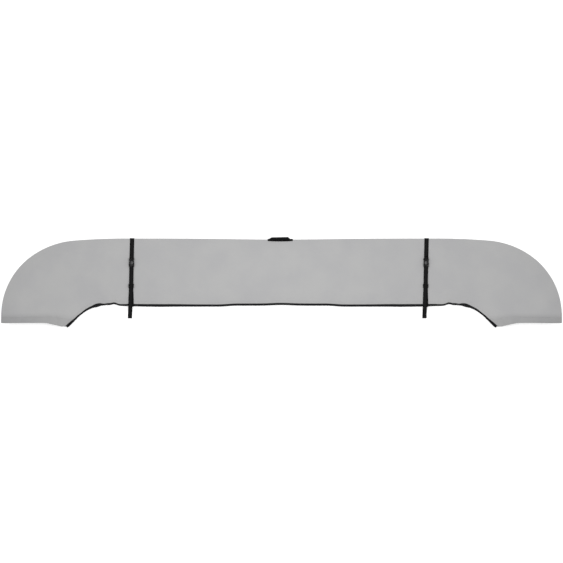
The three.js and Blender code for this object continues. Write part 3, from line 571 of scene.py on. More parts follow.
# %% Small puckers, where thread gathers the cloth
HANDLE = {"x": -6, "half": 58, "reach": 8.7, "end_reach": 6.6, "shoulder": 1.2, "lap": 0.6}
HELD = {"strap": 24, "handle": (26, 6), "off_rim": (30, 16)}  # where each stops keeping the cloth flat
PUCKERS = {  # how many, then bounds: off the seam, half-width along and across, turn in degrees, rise
    "zip": (90, (0, 16), (7, 20), (4, 11), (50, 130), (0.2, 0.75)),
    "rim": (70, (0, 12), (8, 26), (5, 12), (60, 120), (0.15, 0.45)),
    "between": (46, (20, 370), (25, 80), (5, 14), (-80, 80), (0.15, 0.5)),
    "hem": (30, (0, HEM["deep"]), (11, 28), (4, 8.5), (35, 145), (0.9, 2.9)),
}
PUCKER_SPAN = {"between": (-1250, 1250), "hem": (1000, 1290)}


def random_rows(count, *bounds):
    """Rows for ridges(), each value drawn evenly between its bounds, with a random sign of the rise."""
    low, high = np.array(bounds, float).T
    rows = low + (high - low) * rng.random((count, len(bounds)))
    rows[:, -1] *= rng.choice([-1, 1], count)
    return rows


def held_flat(panel):
    """1 where a strap or the handle lies on the cloth, fading to 0."""
    straps = sum(bell(panel.x - strap, HELD["strap"]) for strap in STRAP_XS.values())
    fade, full = [HANDLE["half"] + past for past in HELD["handle"]]
    handle = ease(np.abs(panel.x - HANDLE["x"]), fade, full)
    return np.clip(straps + handle * ease(panel.from_rim, *HELD["off_rim"]), 0, 1)


def gathered(kind, along, off, span):
    """Random ridges of one kind, over this span of the distance along their seam."""
    count, *bounds = PUCKERS[kind]
    return ridges(along, off, random_rows(count, span, *bounds))


def puckers(panel):
    """Short ridges across the seams at the zip and the rim, and in the hems, and a few crumples between.
    Each group is laid out by the distance along its seam and the distance from it."""
    seams = gathered("zip", panel.zip_run, panel.from_zip, (0, panel.zip_run.max()))
    seams += gathered("rim", panel.rim_run, panel.from_rim, (0, panel.rim_run.max()))
    seams += gathered("between", panel.x, panel.y, PUCKER_SPAN["between"])
    for side in (-1, 1):
        hems = gathered("hem", side * panel.x, panel.from_hem, PUCKER_SPAN["hem"])
        seams += hems * (panel.x * side > 0) * ease(panel.from_hem, 60, 30)
    return seams * quarter_sine(panel.from_rim / 4) * (1 - held_flat(panel))


# %% [markdown]
# ### The two canvas panels
#
# The canvas is turned in where the zip is sewn to it and at the mouths, so it is double there, and the
# thread pulls a shallow groove into it. At the rim the panels are sewn together inside out and then
# turned, which leaves a soft rolled edge. Thickness and grooves are part of the same formula as the
# arch, so the hem stays part of its cloth.

# %% Build the panels
ZIP_FOLD = 13  # how far the canvas is turned in at the zip
GROOVE = {"deep": 0.32, "wide": 1.0}
HEM_GROOVE = {"deep": 0.9, "wide": 2.4}
ROLL = {"deep": 1.6, "wide": 2.2}  # how the front cloth turns down into the rim seam
BACK_RIM = {"z": 2.0, "full": 10, "fade": 26}


def in_hem(panel):
    return ease(panel.from_hem, HEM["deep"] + 1.5, HEM["deep"] - 1)


def worn(panel):
    """How much painted shade the cloth gets, in place of the shade of the doubled hem and its rolled edge:
    more in the outer part of a hem than near the zip, fading out above the hem, and most along the
    edges of the outer corner."""
    above = ease(panel.from_hem, HEM["shade_from"], HEM["deep"] - 4)
    above = above * np.where(panel.from_hem > HEM["deep"], 0.8, 1)
    corner = ease(np.abs(panel.x), EDGE_SHADE["from"], EDGE_SHADE["full"]) * ease(panel.from_hem, 60, 20)
    edge = corner * bell(np.minimum(panel.from_hem, panel.from_rim), EDGE_SHADE["wide"])
    return np.maximum(above * read_table(HEM_SHADE, np.abs(panel.x)), edge)


def thickness(panel):
    """Nearly twice the cloth inside a hem and inside the fold at the zip."""
    double = np.maximum(in_hem(panel), ease(panel.from_zip, ZIP_FOLD + 1, ZIP_FOLD - 1))
    return CLOTH * (1 + 0.85 * double)


def half_thickness(panel):
    edges = [nose(edge, thickness(panel)) for edge in (panel.from_zip, panel.from_rim, panel.from_hem)]
    return thickness(panel) / 2 * edges[0] * edges[1] * edges[2]


def grooves(panel):
    """The dents that rows of stitches pull into the cloth."""
    rows = GROOVE["deep"] * sum(bell(panel.from_zip - at, GROOVE["wide"]) for at in TOPSTITCH)
    return np.maximum(rows, HEM_GROOVE["deep"] * bell(panel.from_hem - HEM["stitch"], HEM_GROOVE["wide"]))


def front_surface():
    arch = front_height(front.x, front.y, front.inset, front.from_rim, front.mouthward)
    roll = ROLL["deep"] * (1 - quarter_sine(front.from_rim / ROLL["wide"]))
    roll += HEM["roll"] * (1 - quarter_sine(front.from_hem / HEM["roll_wide"]))
    return front.surface(arch + puckers(front) - grooves(front) - roll)


def back_surface():
    """The back panel: on the floor, and lifted at the rim seam, over the straps and in a few waves."""
    at_rim = (BACK_RIM["z"] - CLOTH / 2) * ease(back.from_rim, BACK_RIM["fade"], BACK_RIM["full"])
    waves = puckers(back) * ease(back.from_rim, 12, 30) * ease(back.from_zip, 20, 34)
    lifts = np.maximum(np.maximum(at_rim, strap_lift(back.x)), 0.6 * waves)
    return back.surface(thickness(back) / 2 + np.maximum(lifts, grooves(back)))


FRONT, BACK = front_surface(), back_surface()
# Each panel carries its painted shade of the hems as a mark for the canvas to read.
front_cloth = closed_sheet("front_cloth", FRONT, half_thickness(front), front.plan * MM, worn=worn(front))
back_cloth = closed_sheet("back_cloth", BACK, half_thickness(back), back.plan * MM, worn=worn(back))
settle(front_cloth, canvas, "canvas", "front_panel")
settle(back_cloth, canvas, "canvas", "back_panel")

# %% [markdown]
# ### Polyester thread
#
# Sewing thread for canvas is about half a millimetre thick and a little smoother than the cloth. It
# is matched to the cloth, so a row of stitches shows by its small shadows more than by its colour. On
# the straps it is black. One stitch is a lozenge that sinks into the cloth at both ends. The lozenge
# is made once, and arrays place all its copies along a line of the surface.

# %% Material of the thread
def thread_material(name, dark, light):
    """Twisted thread: fine slanting bands 0.4 mm apart, which shift both its colour and its shading."""
    material, tree = new_material(name)
    twist = bands(tree, coordinates(tree, "Object"), 0.4, "DIAGONAL")
    shade(tree, {"Base Color": mixed(tree, twist, dark, light), "Roughness": 0.6,
                 "Specular IOR Level": 0.25, "Normal": bumped(tree, twist, 0.00006, 0.5)})
    return material


grey_thread = thread_material("grey polyester thread", "#a0a0a0", "#adadac")
black_thread = thread_material("black polyester thread", "#121213", "#1e1e1f")

# %% Stitches
STITCH = {"pitch": 4.0, "long": 3.1, "wide": 0.62, "high": 0.3}


def stitch_shape():
    """A lozenge: rings of four points at five stations, 0, 0.8, 1, 0.8 and 0 of full width."""
    station, width = np.array([-0.4, 0, 0.4]), np.array([0.8, 1, 0.8])
    turn = np.arange(4) * math.pi / 2
    ring = np.stack([np.cos(turn) * STITCH["wide"] / 2, np.sin(turn) * STITCH["high"]], -1)
    along = np.broadcast_to((station * STITCH["long"])[:, None, None], (3, 4, 1))
    rings = np.concatenate([along, ring[None] * width[:, None, None]], axis=2)
    return capped(rings, np.array([[-1, 0, 0], [1, 0, 0]]) * STITCH["long"] / 2)


def copies(shape, at, frames):
    """Copies of a small shape. at holds their places and frames their three axes, as rows."""
    points, faces = shape
    spread = at[:, None] + np.einsum("pk,nkc->npc", points, frames)
    first = (np.arange(len(at)) * len(points))[:, None, None]
    return spread.reshape(-1, 3), [(first + face[None]).reshape(-1, face.shape[1]) for face in faces]


def merged(parts):
    """Several (points, faces) as one, with the faces' point numbers moved up. All have the same kinds
    of faces in the same order."""
    firsts = np.concatenate([[0], np.cumsum([len(points) for points, _ in parts])[:-1]])
    kinds = len(parts[0][1])
    faces = [np.concatenate([part[1][k] + first for part, first in zip(parts, firsts)]) for k in range(kinds)]
    return np.concatenate([points for points, _ in parts]), faces


def stitch_row(line, up, margin=2.0):
    """Stitches along a line of points, whose upward directions are known, one to each pitch."""
    run = arc_length(line)
    at = np.arange(margin, run[-1] - margin, STITCH["pitch"])
    along = unit(read_at(at, run, tangents(line, 0)))
    side = unit(np.cross(read_at(at, run, up), along))
    frames = np.stack([along, side, np.cross(along, side)], axis=1)
    return copies(stitch_shape(), read_at(at, run, line), frames)


def seam_on(panel, grid, pick, face):
    """A row of stitches on one face of a panel, along a row or column picked from its grid."""
    normal = normals_of(grid) * face
    top = grid + normal * half_thickness(panel)[..., None]
    return stitch_row(top[pick], normal[pick])


def stitch_lines():
    rows = [int(np.argmin(np.abs(NEAR_ZIP - at))) for at in TOPSTITCH]
    picks = [(slice(None), row) for row in rows] + [(column, slice(None)) for column in HEM_COLUMNS]
    return [seam_on(panel, grid, pick, face) for pick in picks
            for panel, grid, face in ((front, FRONT, 1), (back, BACK, -1))]


points, faces = merged(stitch_lines())
cloth_stitches = make_object("cloth_stitches", to_frame(points), faces)
settle(cloth_stitches, grey_thread, "canvas")

# %% [markdown]
# ## The zip
#
# A coil zip: two woven tapes, each with a nylon coil sewn along its edge, whose turns interlock. Here
# it bends round the lower edge of the sleeve. The front tape comes out from under the front panel and
# leans down, the back one turns under, and the coils stand outside, where the sliders run on them.
#
# The tapes are thin sheets whose profile in section is carried along the zip line. A section is a short
# table of insets, measured inwards from the outermost line of the zip, and heights.

# %% Material of the zip tape
def tape_material():
    """Polyester twill: slanting ribs 0.8 mm apart, drawn 1.2 mm apart so that they show at all."""
    material, tree = new_material("black polyester zip tape")
    uv = coordinates(tree, "UV")
    turned = add_node(tree, "ShaderNodeMapping", {"Vector": uv, "Rotation": (0, 0, math.radians(32))})
    ribs = bands(tree, turned.outputs["Vector"], 1.2, more={"Distortion": 0.6})
    shade(tree, {"Base Color": mixed(tree, noise(tree, uv, 60, 3), "#141416", "#202022"), "Roughness": 0.85,
                 "Specular IOR Level": 0.12, "Normal": bumped(tree, ribs, 0.00015, 0.6)})
    return material


zip_tape = tape_material()

# %% The zip tapes
TAPE = {"thick": 0.6, "wide": 26, "long": 2045}
FRONT_TAPE = np.array([  # inset, height
    (26, 12.9), (19, 11.5), (14, 10.5), (10, 9.8), (6.5, 9.4), (4.9, 8.9), (3.9, 8.1), (3.2, 6.9),
    (2.5, 5.7)])
BACK_TAPE = np.array([
    (26, 1.6), (12, 2.1), (8, 2.1), (4.6, 2.05), (2.6, 1.95), (1.5, 2.1), (0.95, 2.7), (1.25, 3.5),
    (2.15, 5.1)])


def zip_surface(section):
    """A section carried along the zip line, lifted over the straps that pass under it."""
    plan = ZIP[:, None] + INWARD[:, None] * section[None, :, :1]
    height = section[None, :, 1] + strap_lift(ZIP[:, :1])
    return np.concatenate([plan, height[..., None]], axis=2)


def with_edges(values, wide):
    """Extra stations close to both ends of a run, for a round edge of this width."""
    near = NEAR_EDGE * wide
    return np.sort(np.concatenate([values, values[0] + near, values[-1] - near]))


def tape(name, section):
    run = arc_length(section)
    across = with_edges(run, TAPE["thick"] / 2)
    surface = zip_surface(read_at(across, run, section))
    along, across = arc_length(ZIP)[:, None], across[None]
    uv = np.stack(np.broadcast_arrays(across, along), -1) * MM
    return closed_sheet(name, surface, strip_half(TAPE["thick"], along, across), uv)


tape_front, tape_back = tape("tape_front", FRONT_TAPE[::-1]), tape("tape_back", BACK_TAPE[::-1])
settle(tape_front, zip_tape, "zip_tape", "zip_tape_front")
settle(tape_back, zip_tape, "zip_tape", "zip_tape_back")

# %% [markdown]
# ### The coils
#
# Each coil is a nylon thread wound into flat turns. From outside one sees the turns as short bars that
# reach from each tape to just past the middle and fit between those of the other side. A turn is one
# closed loop of thread, drawn once, and arrays place its copies in the zip's own axes: along it, across
# it, which leans at 60 degrees, and out of it. Real turns are about 1.7 mm apart. They are drawn 2.4 mm
# apart, which keeps the mesh small and still reads as a fine coil.

# %% Material of the nylon
def nylon_material():
    """Drawn nylon: dark and half glossy, with a faint fine mottle."""
    material, tree = new_material("black nylon monofilament")
    mottle = noise(tree, coordinates(tree, "Object"), 700, 2)
    shade(tree, {"Base Color": mixed(tree, mottle, "#141415", "#242426"),
                 "Roughness": between(tree, mottle, 0.36, 0.5), "Specular IOR Level": 0.25})
    return material


nylon = nylon_material()

# %% The zip's own axes
CHAIN = {"inset": 2, "z": 5.6, "lean": math.radians(60)}
SLIDER_LONG, SLIDER_PAST = 17, 5  # a slider's length, and how far it stands out past the zip's end


def chain_line():
    """The middle of the chain along the zip, with its run, and the frame at each point: along the zip,
    across it towards the front panel, and out of it."""
    middle = zip_surface(np.array([(CHAIN["inset"], CHAIN["z"])]))[:, 0]
    along = tangents(middle, 0)
    up = np.array([0, 0, 1.0])
    inward = unit(np.cross(up, along))
    lean = unit(inward * math.cos(CHAIN["lean"]) + up * math.sin(CHAIN["lean"]))
    return middle, arc_length(middle), along, lean, np.cross(along, lean)


CHAIN_MIDDLE, CHAIN_RUN, CHAIN_ALONG, CHAIN_LEAN, CHAIN_OUT = chain_line()


def zip_frames(at):
    """Places and frames at distances along the chain. The rows of a frame are along, lean and out."""
    axes = [unit(read_at(at, CHAIN_RUN, axis)) for axis in (CHAIN_ALONG, CHAIN_LEAN, CHAIN_OUT)]
    return read_at(at, CHAIN_RUN, CHAIN_MIDDLE), np.stack(axes, axis=1)


# %% The two coils
TURN = {"pitch": 2.4, "thread": 0.4, "from": -0.55, "to": 2.9, "low": 0.15, "high": 1.2, "slant": 0.35}


def tube_loop(centres, normals, beside, radius, sides=4):
    """A closed tube: at each centre a ring of points, radius * (cos a * normal + sin a * beside)."""
    turn = (np.arange(sides) + 0.5) * 2 * math.pi / sides
    ring = normals[:, None] * np.cos(turn)[None, :, None] + beside * np.sin(turn)[None, :, None]
    return looped(centres[:, None] + radius * ring)


def coil_turn(side):
    """One turn: a flat oval in the plane across the zip. Its upper bar is shifted along the zip, as the
    thread winds on."""
    angle = (np.arange(8) + 0.5) * math.pi / 4
    across = np.clip(np.cos(angle) * 1.25, -1, 1) * (TURN["to"] - TURN["from"]) / 2
    across += (TURN["to"] + TURN["from"]) / 2
    out = (TURN["high"] + TURN["low"]) / 2 + np.sin(angle) * (TURN["high"] - TURN["low"]) / 2
    centres = np.stack([np.sin(angle) * TURN["slant"], side * across, out], -1)
    outward = np.stack([0 * angle, side * np.cos(angle), np.sin(angle)], -1)
    points, faces = tube_loop(centres, outward, np.array([1.0, 0, 0]), TURN["thread"])
    return points, [faces if side > 0 else faces[:, ::-1]]


def coil(name, side):
    clear = SLIDER_LONG - SLIDER_PAST + 1
    at = np.arange(clear + (0.5 * TURN["pitch"] if side < 0 else 0), CHAIN_RUN[-1] - clear, TURN["pitch"])
    points, faces = copies(coil_turn(side), *zip_frames(at))
    return make_object(name, to_frame(points), faces)


coil_front, coil_back = coil("coil_front", 1), coil("coil_back", -1)
settle(coil_front, nylon, "zip_coil", "zip_chain")
settle(coil_back, nylon, "zip_coil")

# %% [markdown]
# ### The sliders
#
# One slider stands at each end of the zip. It is a zinc casting, painted black: two shield-shaped
# plates, which narrow towards the zip's left end, held apart by a post, with a bridge on top for the
# pull. The plates are pillows, an outline whose copies shrink and rise along a round edge. The pull is
# a flat ring with a slot. Bevelled boxes would be quicker, but they would read as boxes.

# %% Material of the painted metal and of the moulded plastic
def satin_black(name, grit_mm, rough, specular, colours):
    """A dark satin surface with the fine grit of its mould, and a soft cloud in its colour and polish."""
    material, tree = new_material(name)
    place = coordinates(tree, "Object")
    cloud, grit = noise(tree, place, 160, 2), noise(tree, place, 1 / (grit_mm * MM), 3)
    shade(tree, {"Base Color": mixed(tree, cloud, *colours),
                 "Roughness": between(tree, cloud, rough - 0.05, rough + 0.07),
                 "Specular IOR Level": specular, "Normal": bumped(tree, grit, 0.00005, 0.35)})
    return material


# Acetal as moulded, from a spark-eroded mould: grit of 0.3 mm, a dull sheen, almost black.
acetal = satin_black("black moulded acetal", 0.3, 0.5, 0.12, ("#0f0f10", "#171718"))
# The same plastic where the mould was polished, on the buckles' push pads: glossier, and painted a
# little lighter than the rest, a painted highlight.
painted_highlight_acetal = satin_black("polished black acetal with painted highlight", 0.6, 0.28, 0.55, ("#1c1c1e", "#262628"))
# Zinc with a baked black paint: smoother and a little brighter than the plastic.
zinc = satin_black("black painted zinc", 0.5, 0.42, 0.14, ("#101011", "#18181a"))

# %% Pillows and flat rings
EDGE = [(1.0, 0.0), (0.6, 0.08), (0.29, 0.29), (0.08, 0.6), (0.0, 1.0)]  # inset and rise of a round edge
NO_FANS = np.zeros((0, 3), int)  # for a part with no triangles


def rounded_outline(wide, long, taper=1.0, power=4.0, count=32):
    """A rounded rectangle about the origin: |x / a| ** power + |y / b| ** power = 1. Its width shrinks
    to taper times as much at the low end of y."""
    turn = np.arange(count) * 2 * math.pi / count
    c, s = np.cos(turn), np.sin(turn)
    reach = (np.abs(c) ** power + np.abs(s) ** power) ** (-1 / power)
    y = reach * s * long / 2
    return np.stack([reach * c * wide / 2 * (taper + (1 - taper) * (y / long + 0.5)), y], -1)


def side_levels(low, high, edge):
    """Insets and heights up the side of a plate that is rounded at both faces."""
    lower = [(edge * inset, low + edge * rise) for inset, rise in EDGE]
    return lower + [(edge * inset, high - edge * rise) for inset, rise in EDGE[::-1]]


def level_with(outline, z):
    return np.column_stack([outline, np.full(len(outline), z)])


def pillow(outline, low, high, edge):
    """A plate with round edges: rings of the outline, pulled inwards and raised along EDGE, closed by a
    point in the middle of each face."""
    middle = outline.mean(0)
    inward = -unit(outline - middle)
    rings = [level_with(outline + inward * inset, z) for inset, z in side_levels(low, high, edge)]
    return capped(np.stack(rings), np.array([[*middle, low], [*middle, high]]))


def flat_ring(outer, inner, low, high, edge):
    """A plate with a hole: a round-edged section carried round between two outlines."""
    levels, gap = side_levels(low, high, edge), inner - outer
    wide = np.linalg.norm(gap, axis=1)[:, None]
    rings = [level_with(outer + gap * inset / wide, z) for inset, z in levels]
    rings += [level_with(inner - gap * inset / wide, z) for inset, z in levels[::-1]]
    points, faces = looped(np.stack(rings))
    return points, [faces[:, ::-1], NO_FANS]


def moved(part, turn, shift):
    """A part turned by the rows of a matrix and then shifted. Where the matrix mirrors it, its faces are
    turned over, so that they still point outwards."""
    points, faces = part
    if np.linalg.det(turn) < 0:
        faces = [face[:, ::-1] for face in faces]
    return points @ np.array(turn, float) + np.array(shift, float), faces


# %% The sliders
SLIDER = {"wide": 9.4, "taper": 0.72, "plate": 1.2, "low": -1.5, "high": 1.75, "edge": 0.5}
POST = {"wide": 3.2, "long": 4.2, "outwards": 3.4, "sunk": 0.3, "edge": 0.3}
PULL = {"long": 39, "wide": 6.8, "thick": 1.6, "taper": 0.8, "edge": 0.45, "under_bridge": 2.5,
        "lift": 0.3, "rise": 0.12}
SLOT = {"wide": 2.8, "long": 12, "from_end": 2.2}
ALONG_ZIP = [[0, 1, 0], [1, 0, 0], [0, 0, 1]]  # swaps a plate's width and length
BRIDGE = {"long": 7.5, "high": 2.0, "radius": 0.7, "sunk": 0.2}


def bridge(top):
    """The bow over the slider: a round bar along an ellipse, whose lower half runs through the plate
    and the channel below it."""
    turn = np.arange(20) * 2 * math.pi / 20
    long, high = BRIDGE["long"] / 2, BRIDGE["high"]
    centres = np.stack([np.cos(turn) * long, 0 * turn, np.sin(turn) * high], -1)
    outward = unit(np.stack([np.cos(turn) * high, 0 * turn, np.sin(turn) * long], -1))
    points, faces = tube_loop(centres, outward, np.array([0, 1.0, 0]), BRIDGE["radius"], 8)
    return points + np.array([0, 0, top - BRIDGE["sunk"]]), [faces[:, ::-1], NO_FANS]


def slider_parts(inwards):
    """A slider about its own middle, with rows along, lean and out. inwards is 1 where the middle of the
    zip lies ahead of it along the zip."""
    shield = rounded_outline(SLIDER["wide"], SLIDER_LONG, SLIDER["taper"], 3.0)
    low, high, plate = SLIDER["low"], SLIDER["high"], SLIDER["plate"]
    top = high + plate
    plates = [pillow(shield, *heights, SLIDER["edge"]) for heights in ((low - plate, low), (high, top))]
    foot = rounded_outline(POST["wide"], POST["long"], 1, 2.0) + np.array([0, -inwards * POST["outwards"]])
    post = pillow(foot, low - POST["sunk"], high + POST["sunk"], POST["edge"])
    long = PULL["long"]
    slot_y = long / 2 - SLOT["long"] / 2 - SLOT["from_end"]
    slot = rounded_outline(SLOT["wide"], SLOT["long"]) + np.array([0, slot_y])
    outer = rounded_outline(PULL["wide"], long, PULL["taper"], 6.0)
    pull = flat_ring(outer, slot, 0, PULL["thick"], PULL["edge"])
    swing = [[1, 0, 0], [0, inwards, 0], [0, 0, 1]]
    pull = moved(pull, swing, (0, inwards * (long / 2 - PULL["under_bridge"]), top + PULL["lift"]))
    upwards = np.array([math.sin(CHAIN["lean"]), 0, math.cos(CHAIN["lean"])])
    slope = np.identity(3) + np.outer([0, inwards, 0], PULL["rise"] * upwards)  # it rides up over the coil
    loose = [*plates, post, moved(pull, slope, (0, 0, 0))]
    return merged([*[moved(part, ALONG_ZIP, (0, 0, 0)) for part in loose], bridge(top)])


def slider(side, end, inwards):
    """A slider at one end of the chain, standing out past it."""
    place, frames = zip_frames(np.array([end]))
    points, faces = slider_parts(inwards)
    points = points + np.array([inwards * (SLIDER_LONG / 2 - SLIDER_PAST), 0, 0])
    made = make_object(f"slider_{side}", to_frame(place + points @ frames[0]), faces)
    settle(made, zinc, "hardware", f"zip_slider_{side}")


for side, end, inwards in (("left", 0, 1), ("right", CHAIN_RUN[-1], -1)):
    slider(side, end, inwards)

# %% [markdown]
# ## The straps
#
# Each strap is one length of 20 mm polypropylene webbing. It starts at the end that is sewn back on
# itself under the upper half of the buckle, runs over the rim, under the sleeve and round the zip, then
# up through the tri-glide and round the bar of the buckle's lower half, and comes back through the
# tri-glide as a tail whose end is folded over and stitched.
#
# Its path in section is a list of corners, each with the length that its bend takes off. Carrying the
# width of the webbing along that path gives the strap. A curve object with a flat bevel could do it
# too, but it would not give the strap a map that follows its threads.

# %% Material of the webbing
def webbing_material():
    """Polypropylene webbing: ribs along it 1.6 mm apart crossed by picks 2 mm apart, and a middle that
    is painted a little paler than its edges, a painted sheen along the strap."""
    material, tree = new_material("black polypropylene webbing")
    uv = coordinates(tree, "UV")
    picks = bands(tree, uv, 2.0, "Y", {"Distortion": 0.3, "Detail Scale": 200})
    weave = reckoned(tree, "MULTIPLY", bands(tree, uv, 1.6, "X"), picks)
    across = add_node(tree, "ShaderNodeSeparateXYZ", {"Vector": uv}).outputs["X"]
    off_middle = reckoned(tree, "ABSOLUTE", reckoned(tree, "SUBTRACT", across, 0.01))
    # Painted sheen: the middle of the webbing is painted paler than its edges, in place of the sheen that
    # light gives along the strap.
    painted_sheen = add_node(tree, "ShaderNodeMapRange", {"Value": off_middle, "From Min": 0.002, "From Max": 0.008,
                                                   "To Min": 1.0, "To Max": 0.0}).outputs["Result"]
    tone = mixed(tree, painted_sheen, "#0e0e0f", "#19191a")
    shade(tree, {"Base Color": mixed(tree, 0.12, tone, weave, blend_type="OVERLAY"), "Roughness": 0.68,
                 "Specular IOR Level": 0.07, "Normal": bumped(tree, weave, 0.0003, 0.6)})
    return material


webbing = webbing_material()

# %% Sizes of the straps and of their hard parts, in pattern millimetres
WEB = 1.2
GAP = 0.3
CLOTH_TOP = 0.5  # from the middle of the solid cloth to its top
STRAP = {"wide": 20, "over_cloth": 0.7, "off_zip": 1.5, "sewn_back": 30, "round_edge": 1.5, "bend": 2.2}
RUN = {"clear": 6, "second": 9, "step": 12, "to_rim": 4, "from_zip": 7.5, "from_zip_bend": 2}
RIM_STATIONS = [0.3, 0.55, 0.75]  # shares of the way from the sewn end to the rim
STRAP_STEPS = [16, 30, 46, 64]  # insets at which the strap follows the front panel
TAIL = {"end": 22, "fall": 30, "leave_bend": 6, "land_bend": 12, "fold": 13, "fold_bend": 0.6,
        "pressed": 0.2}
STRAP_LEAN = [(70, 1.2), (172, -1.4), (280, 0.7), (391, 3.1)]  # height, how far to the right
TAIL_LEAN = [(22, -7.2), (172, -1.4)]
BUCKLE = {"y": 280, "half": 19.7, "thick": 7, "bar": 3}
BAR_TURN = {"clear": 1.1, "bend": 1.8}
TRIGLIDE = {"y": 172, "half": 9.75, "thick": 2.2}
WEAVE = {"low": (6.3, 7), "high": (1.7, 2.4), "bend": 1.1}  # of the first layer and of the second


# %% The path of a strap
def front_top(x, y):
    """Top of the front panel in the straight middle, as the straps were laid on it."""
    return CLOTH_TOP + front_height(x, y, y - zip_y(x), rim_y(x) - y, 0)


def web_rest(x, y):
    return front_top(x, y) + STRAP["over_cloth"]


def web_middle(x, y, layer):
    return web_rest(x, y) + WEB / 2 + (layer - 1) * LAYER


def bar_turn(x, outward):
    """Round a buckle's outer bar, in under it and out over it. Corners are (y, z, bend)."""
    under = web_rest(x, BUCKLE["y"])
    turn = BUCKLE["y"] + outward * (BUCKLE["half"] - BUCKLE["bar"] - BAR_TURN["clear"])
    free = BUCKLE["y"] + outward * (BUCKLE["half"] + STRAP["round_edge"])
    low = under + (BUCKLE["thick"] - BUCKLE["bar"]) / 2 - BAR_TURN["clear"]
    high = under + (BUCKLE["thick"] + BUCKLE["bar"]) / 2 + BAR_TURN["clear"]
    bend = BAR_TURN["bend"]
    return [(free, low, 0), (turn, low, bend), (turn, high, bend), (free, high, 0)]


def weave_up(x, layer):
    """Up through the tri-glide: under its lower bar, over the middle one, under the upper one."""
    low = web_rest(x, TRIGLIDE["y"]) + WEB / 2 + layer * LAYER
    high = low + 2 * LAYER + TRIGLIDE["thick"] + GAP
    start, top = WEAVE["low"][layer], WEAVE["high"][layer]
    return [(TRIGLIDE["y"] + y, z, WEAVE["bend"]) for y, z in
            ((-start, low), (-top, high), (top, high), (start, low))]


def strap_corners(x):
    """The whole strap in section, from its sewn end to the fold of its tail."""
    rim, zip_line, sewn = rim_y(x), zip_y(x), STRAP["sewn_back"]
    buckle_top, buckle_foot = BUCKLE["y"] + BUCKLE["half"], BUCKLE["y"] - BUCKLE["half"]
    glide_top, glide_foot = TRIGLIDE["y"] + TRIGLIDE["half"], TRIGLIDE["y"] - TRIGLIDE["half"]
    last = buckle_top + sewn + RUN["step"]
    clear, step, edge, bend = RUN["clear"], RUN["step"], STRAP["round_edge"], STRAP["bend"]

    def on(y, layer):
        return y, web_middle(x, y, layer), 0

    fold = LAYER - TAIL["pressed"]
    return [
        on(buckle_top + sewn, 1), on(buckle_top + clear, 1),
        *bar_turn(x, 1),
        on(buckle_top + RUN["second"], 2), on(buckle_top + sewn, 2),
        on(last, 1), *[on(last + (rim - last) * t, 1) for t in RIM_STATIONS],
        on(rim - RUN["to_rim"], 1),
        (rim + edge, LOFT["rim"] + 2 * CLOTH_TOP + LAYER, bend), (rim + edge, WEB / 2, bend),
        (zip_line - STRAP["off_zip"], WEB / 2, bend),
        (zip_line - STRAP["off_zip"], CHAIN["z"] + 2 * LAYER, bend),
        (zip_line + RUN["from_zip"], LOFT["zip"] + 2 * LAYER + GAP, RUN["from_zip_bend"]),
        *[on(zip_line + inset, 1) for inset in STRAP_STEPS],
        on(glide_foot - clear, 1), *weave_up(x, 0), on(glide_top + clear, 1),
        on(buckle_foot - step, 1),
        *bar_turn(x, -1),
        on(buckle_foot - step, 2), on(glide_top + clear, 2),
        *weave_up(x, 1)[::-1], on(glide_foot - clear, 2),
        *[on(zip_line + inset, 2) for inset in STRAP_STEPS[::-1]],
        (zip_line, LOFT["zip"] + 3 * LAYER + GAP, TAIL["leave_bend"]),
        (zip_line - TAIL["fall"], WEB / 2, TAIL["land_bend"]),
        (TAIL["end"], WEB / 2, TAIL["fold_bend"]), (TAIL["end"], WEB / 2 + fold, TAIL["fold_bend"]),
        (TAIL["end"] + TAIL["fold"], WEB / 2 + fold, 0),
    ]


def rounded_route(corners):
    """Straight stretches, and at each corner with a bend the curve (1 - t) ** 2 a + 2 t (1 - t) corner
    + t ** 2 b, where a and b lie a bend's length before and after the corner."""
    t = np.linspace(0, 1, 7)[:, None]
    places, bends = np.array(corners)[:, :2], [corner[2] for corner in corners]
    route = [places[:1]]
    for before, here, after, bend in zip(places, places[1:], places[2:], bends[1:]):
        a, b = here + unit(before - here) * bend, here + unit(after - here) * bend
        route.append((1 - t) ** 2 * a + 2 * t * (1 - t) * here + t ** 2 * b if bend else here[None])
    route = np.concatenate([*route, places[-1:]])
    run = arc_length(route)
    stations = np.union1d(np.round(run, 3), np.arange(0, run[-1], 4))
    return read_at(stations[np.insert(np.diff(stations) > 0.05, 0, True)], run, route)


# %% Strips of webbing
def run_along(grid, axis):
    """Distance of each point of a grid from the start of its line along one axis."""
    steps = np.linalg.norm(np.diff(grid, axis=axis), axis=-1)
    return np.concatenate([0 * np.take(steps, [0], axis), np.cumsum(steps, axis)], axis)


def edged(grid, wide, axis):
    """A grid with extra stations beside both ends of one axis, for a round edge of this width."""
    grid = np.moveaxis(grid, axis, 0)
    near = NEAR_EDGE[:, None, None] * wide
    head = grid[:1] + unit(grid[1:2] - grid[:1]) * near
    tail = grid[-1:] + unit(grid[-2:-1] - grid[-1:]) * near[::-1]
    return np.moveaxis(np.concatenate([grid[:1], head, grid[1:-1], tail, grid[-1:]]), 0, axis)


def strip(name, grid, thick):
    """A woven strip about a grid, with round edges, and a map in metres: across it, then along it."""
    grid = edged(edged(grid, thick / 2, 0), thick / 2, 1)
    along, across = run_along(grid, 0), run_along(grid, 1)
    return closed_sheet(name, grid, strip_half(thick, along, across), np.stack([across, along], -1) * MM)


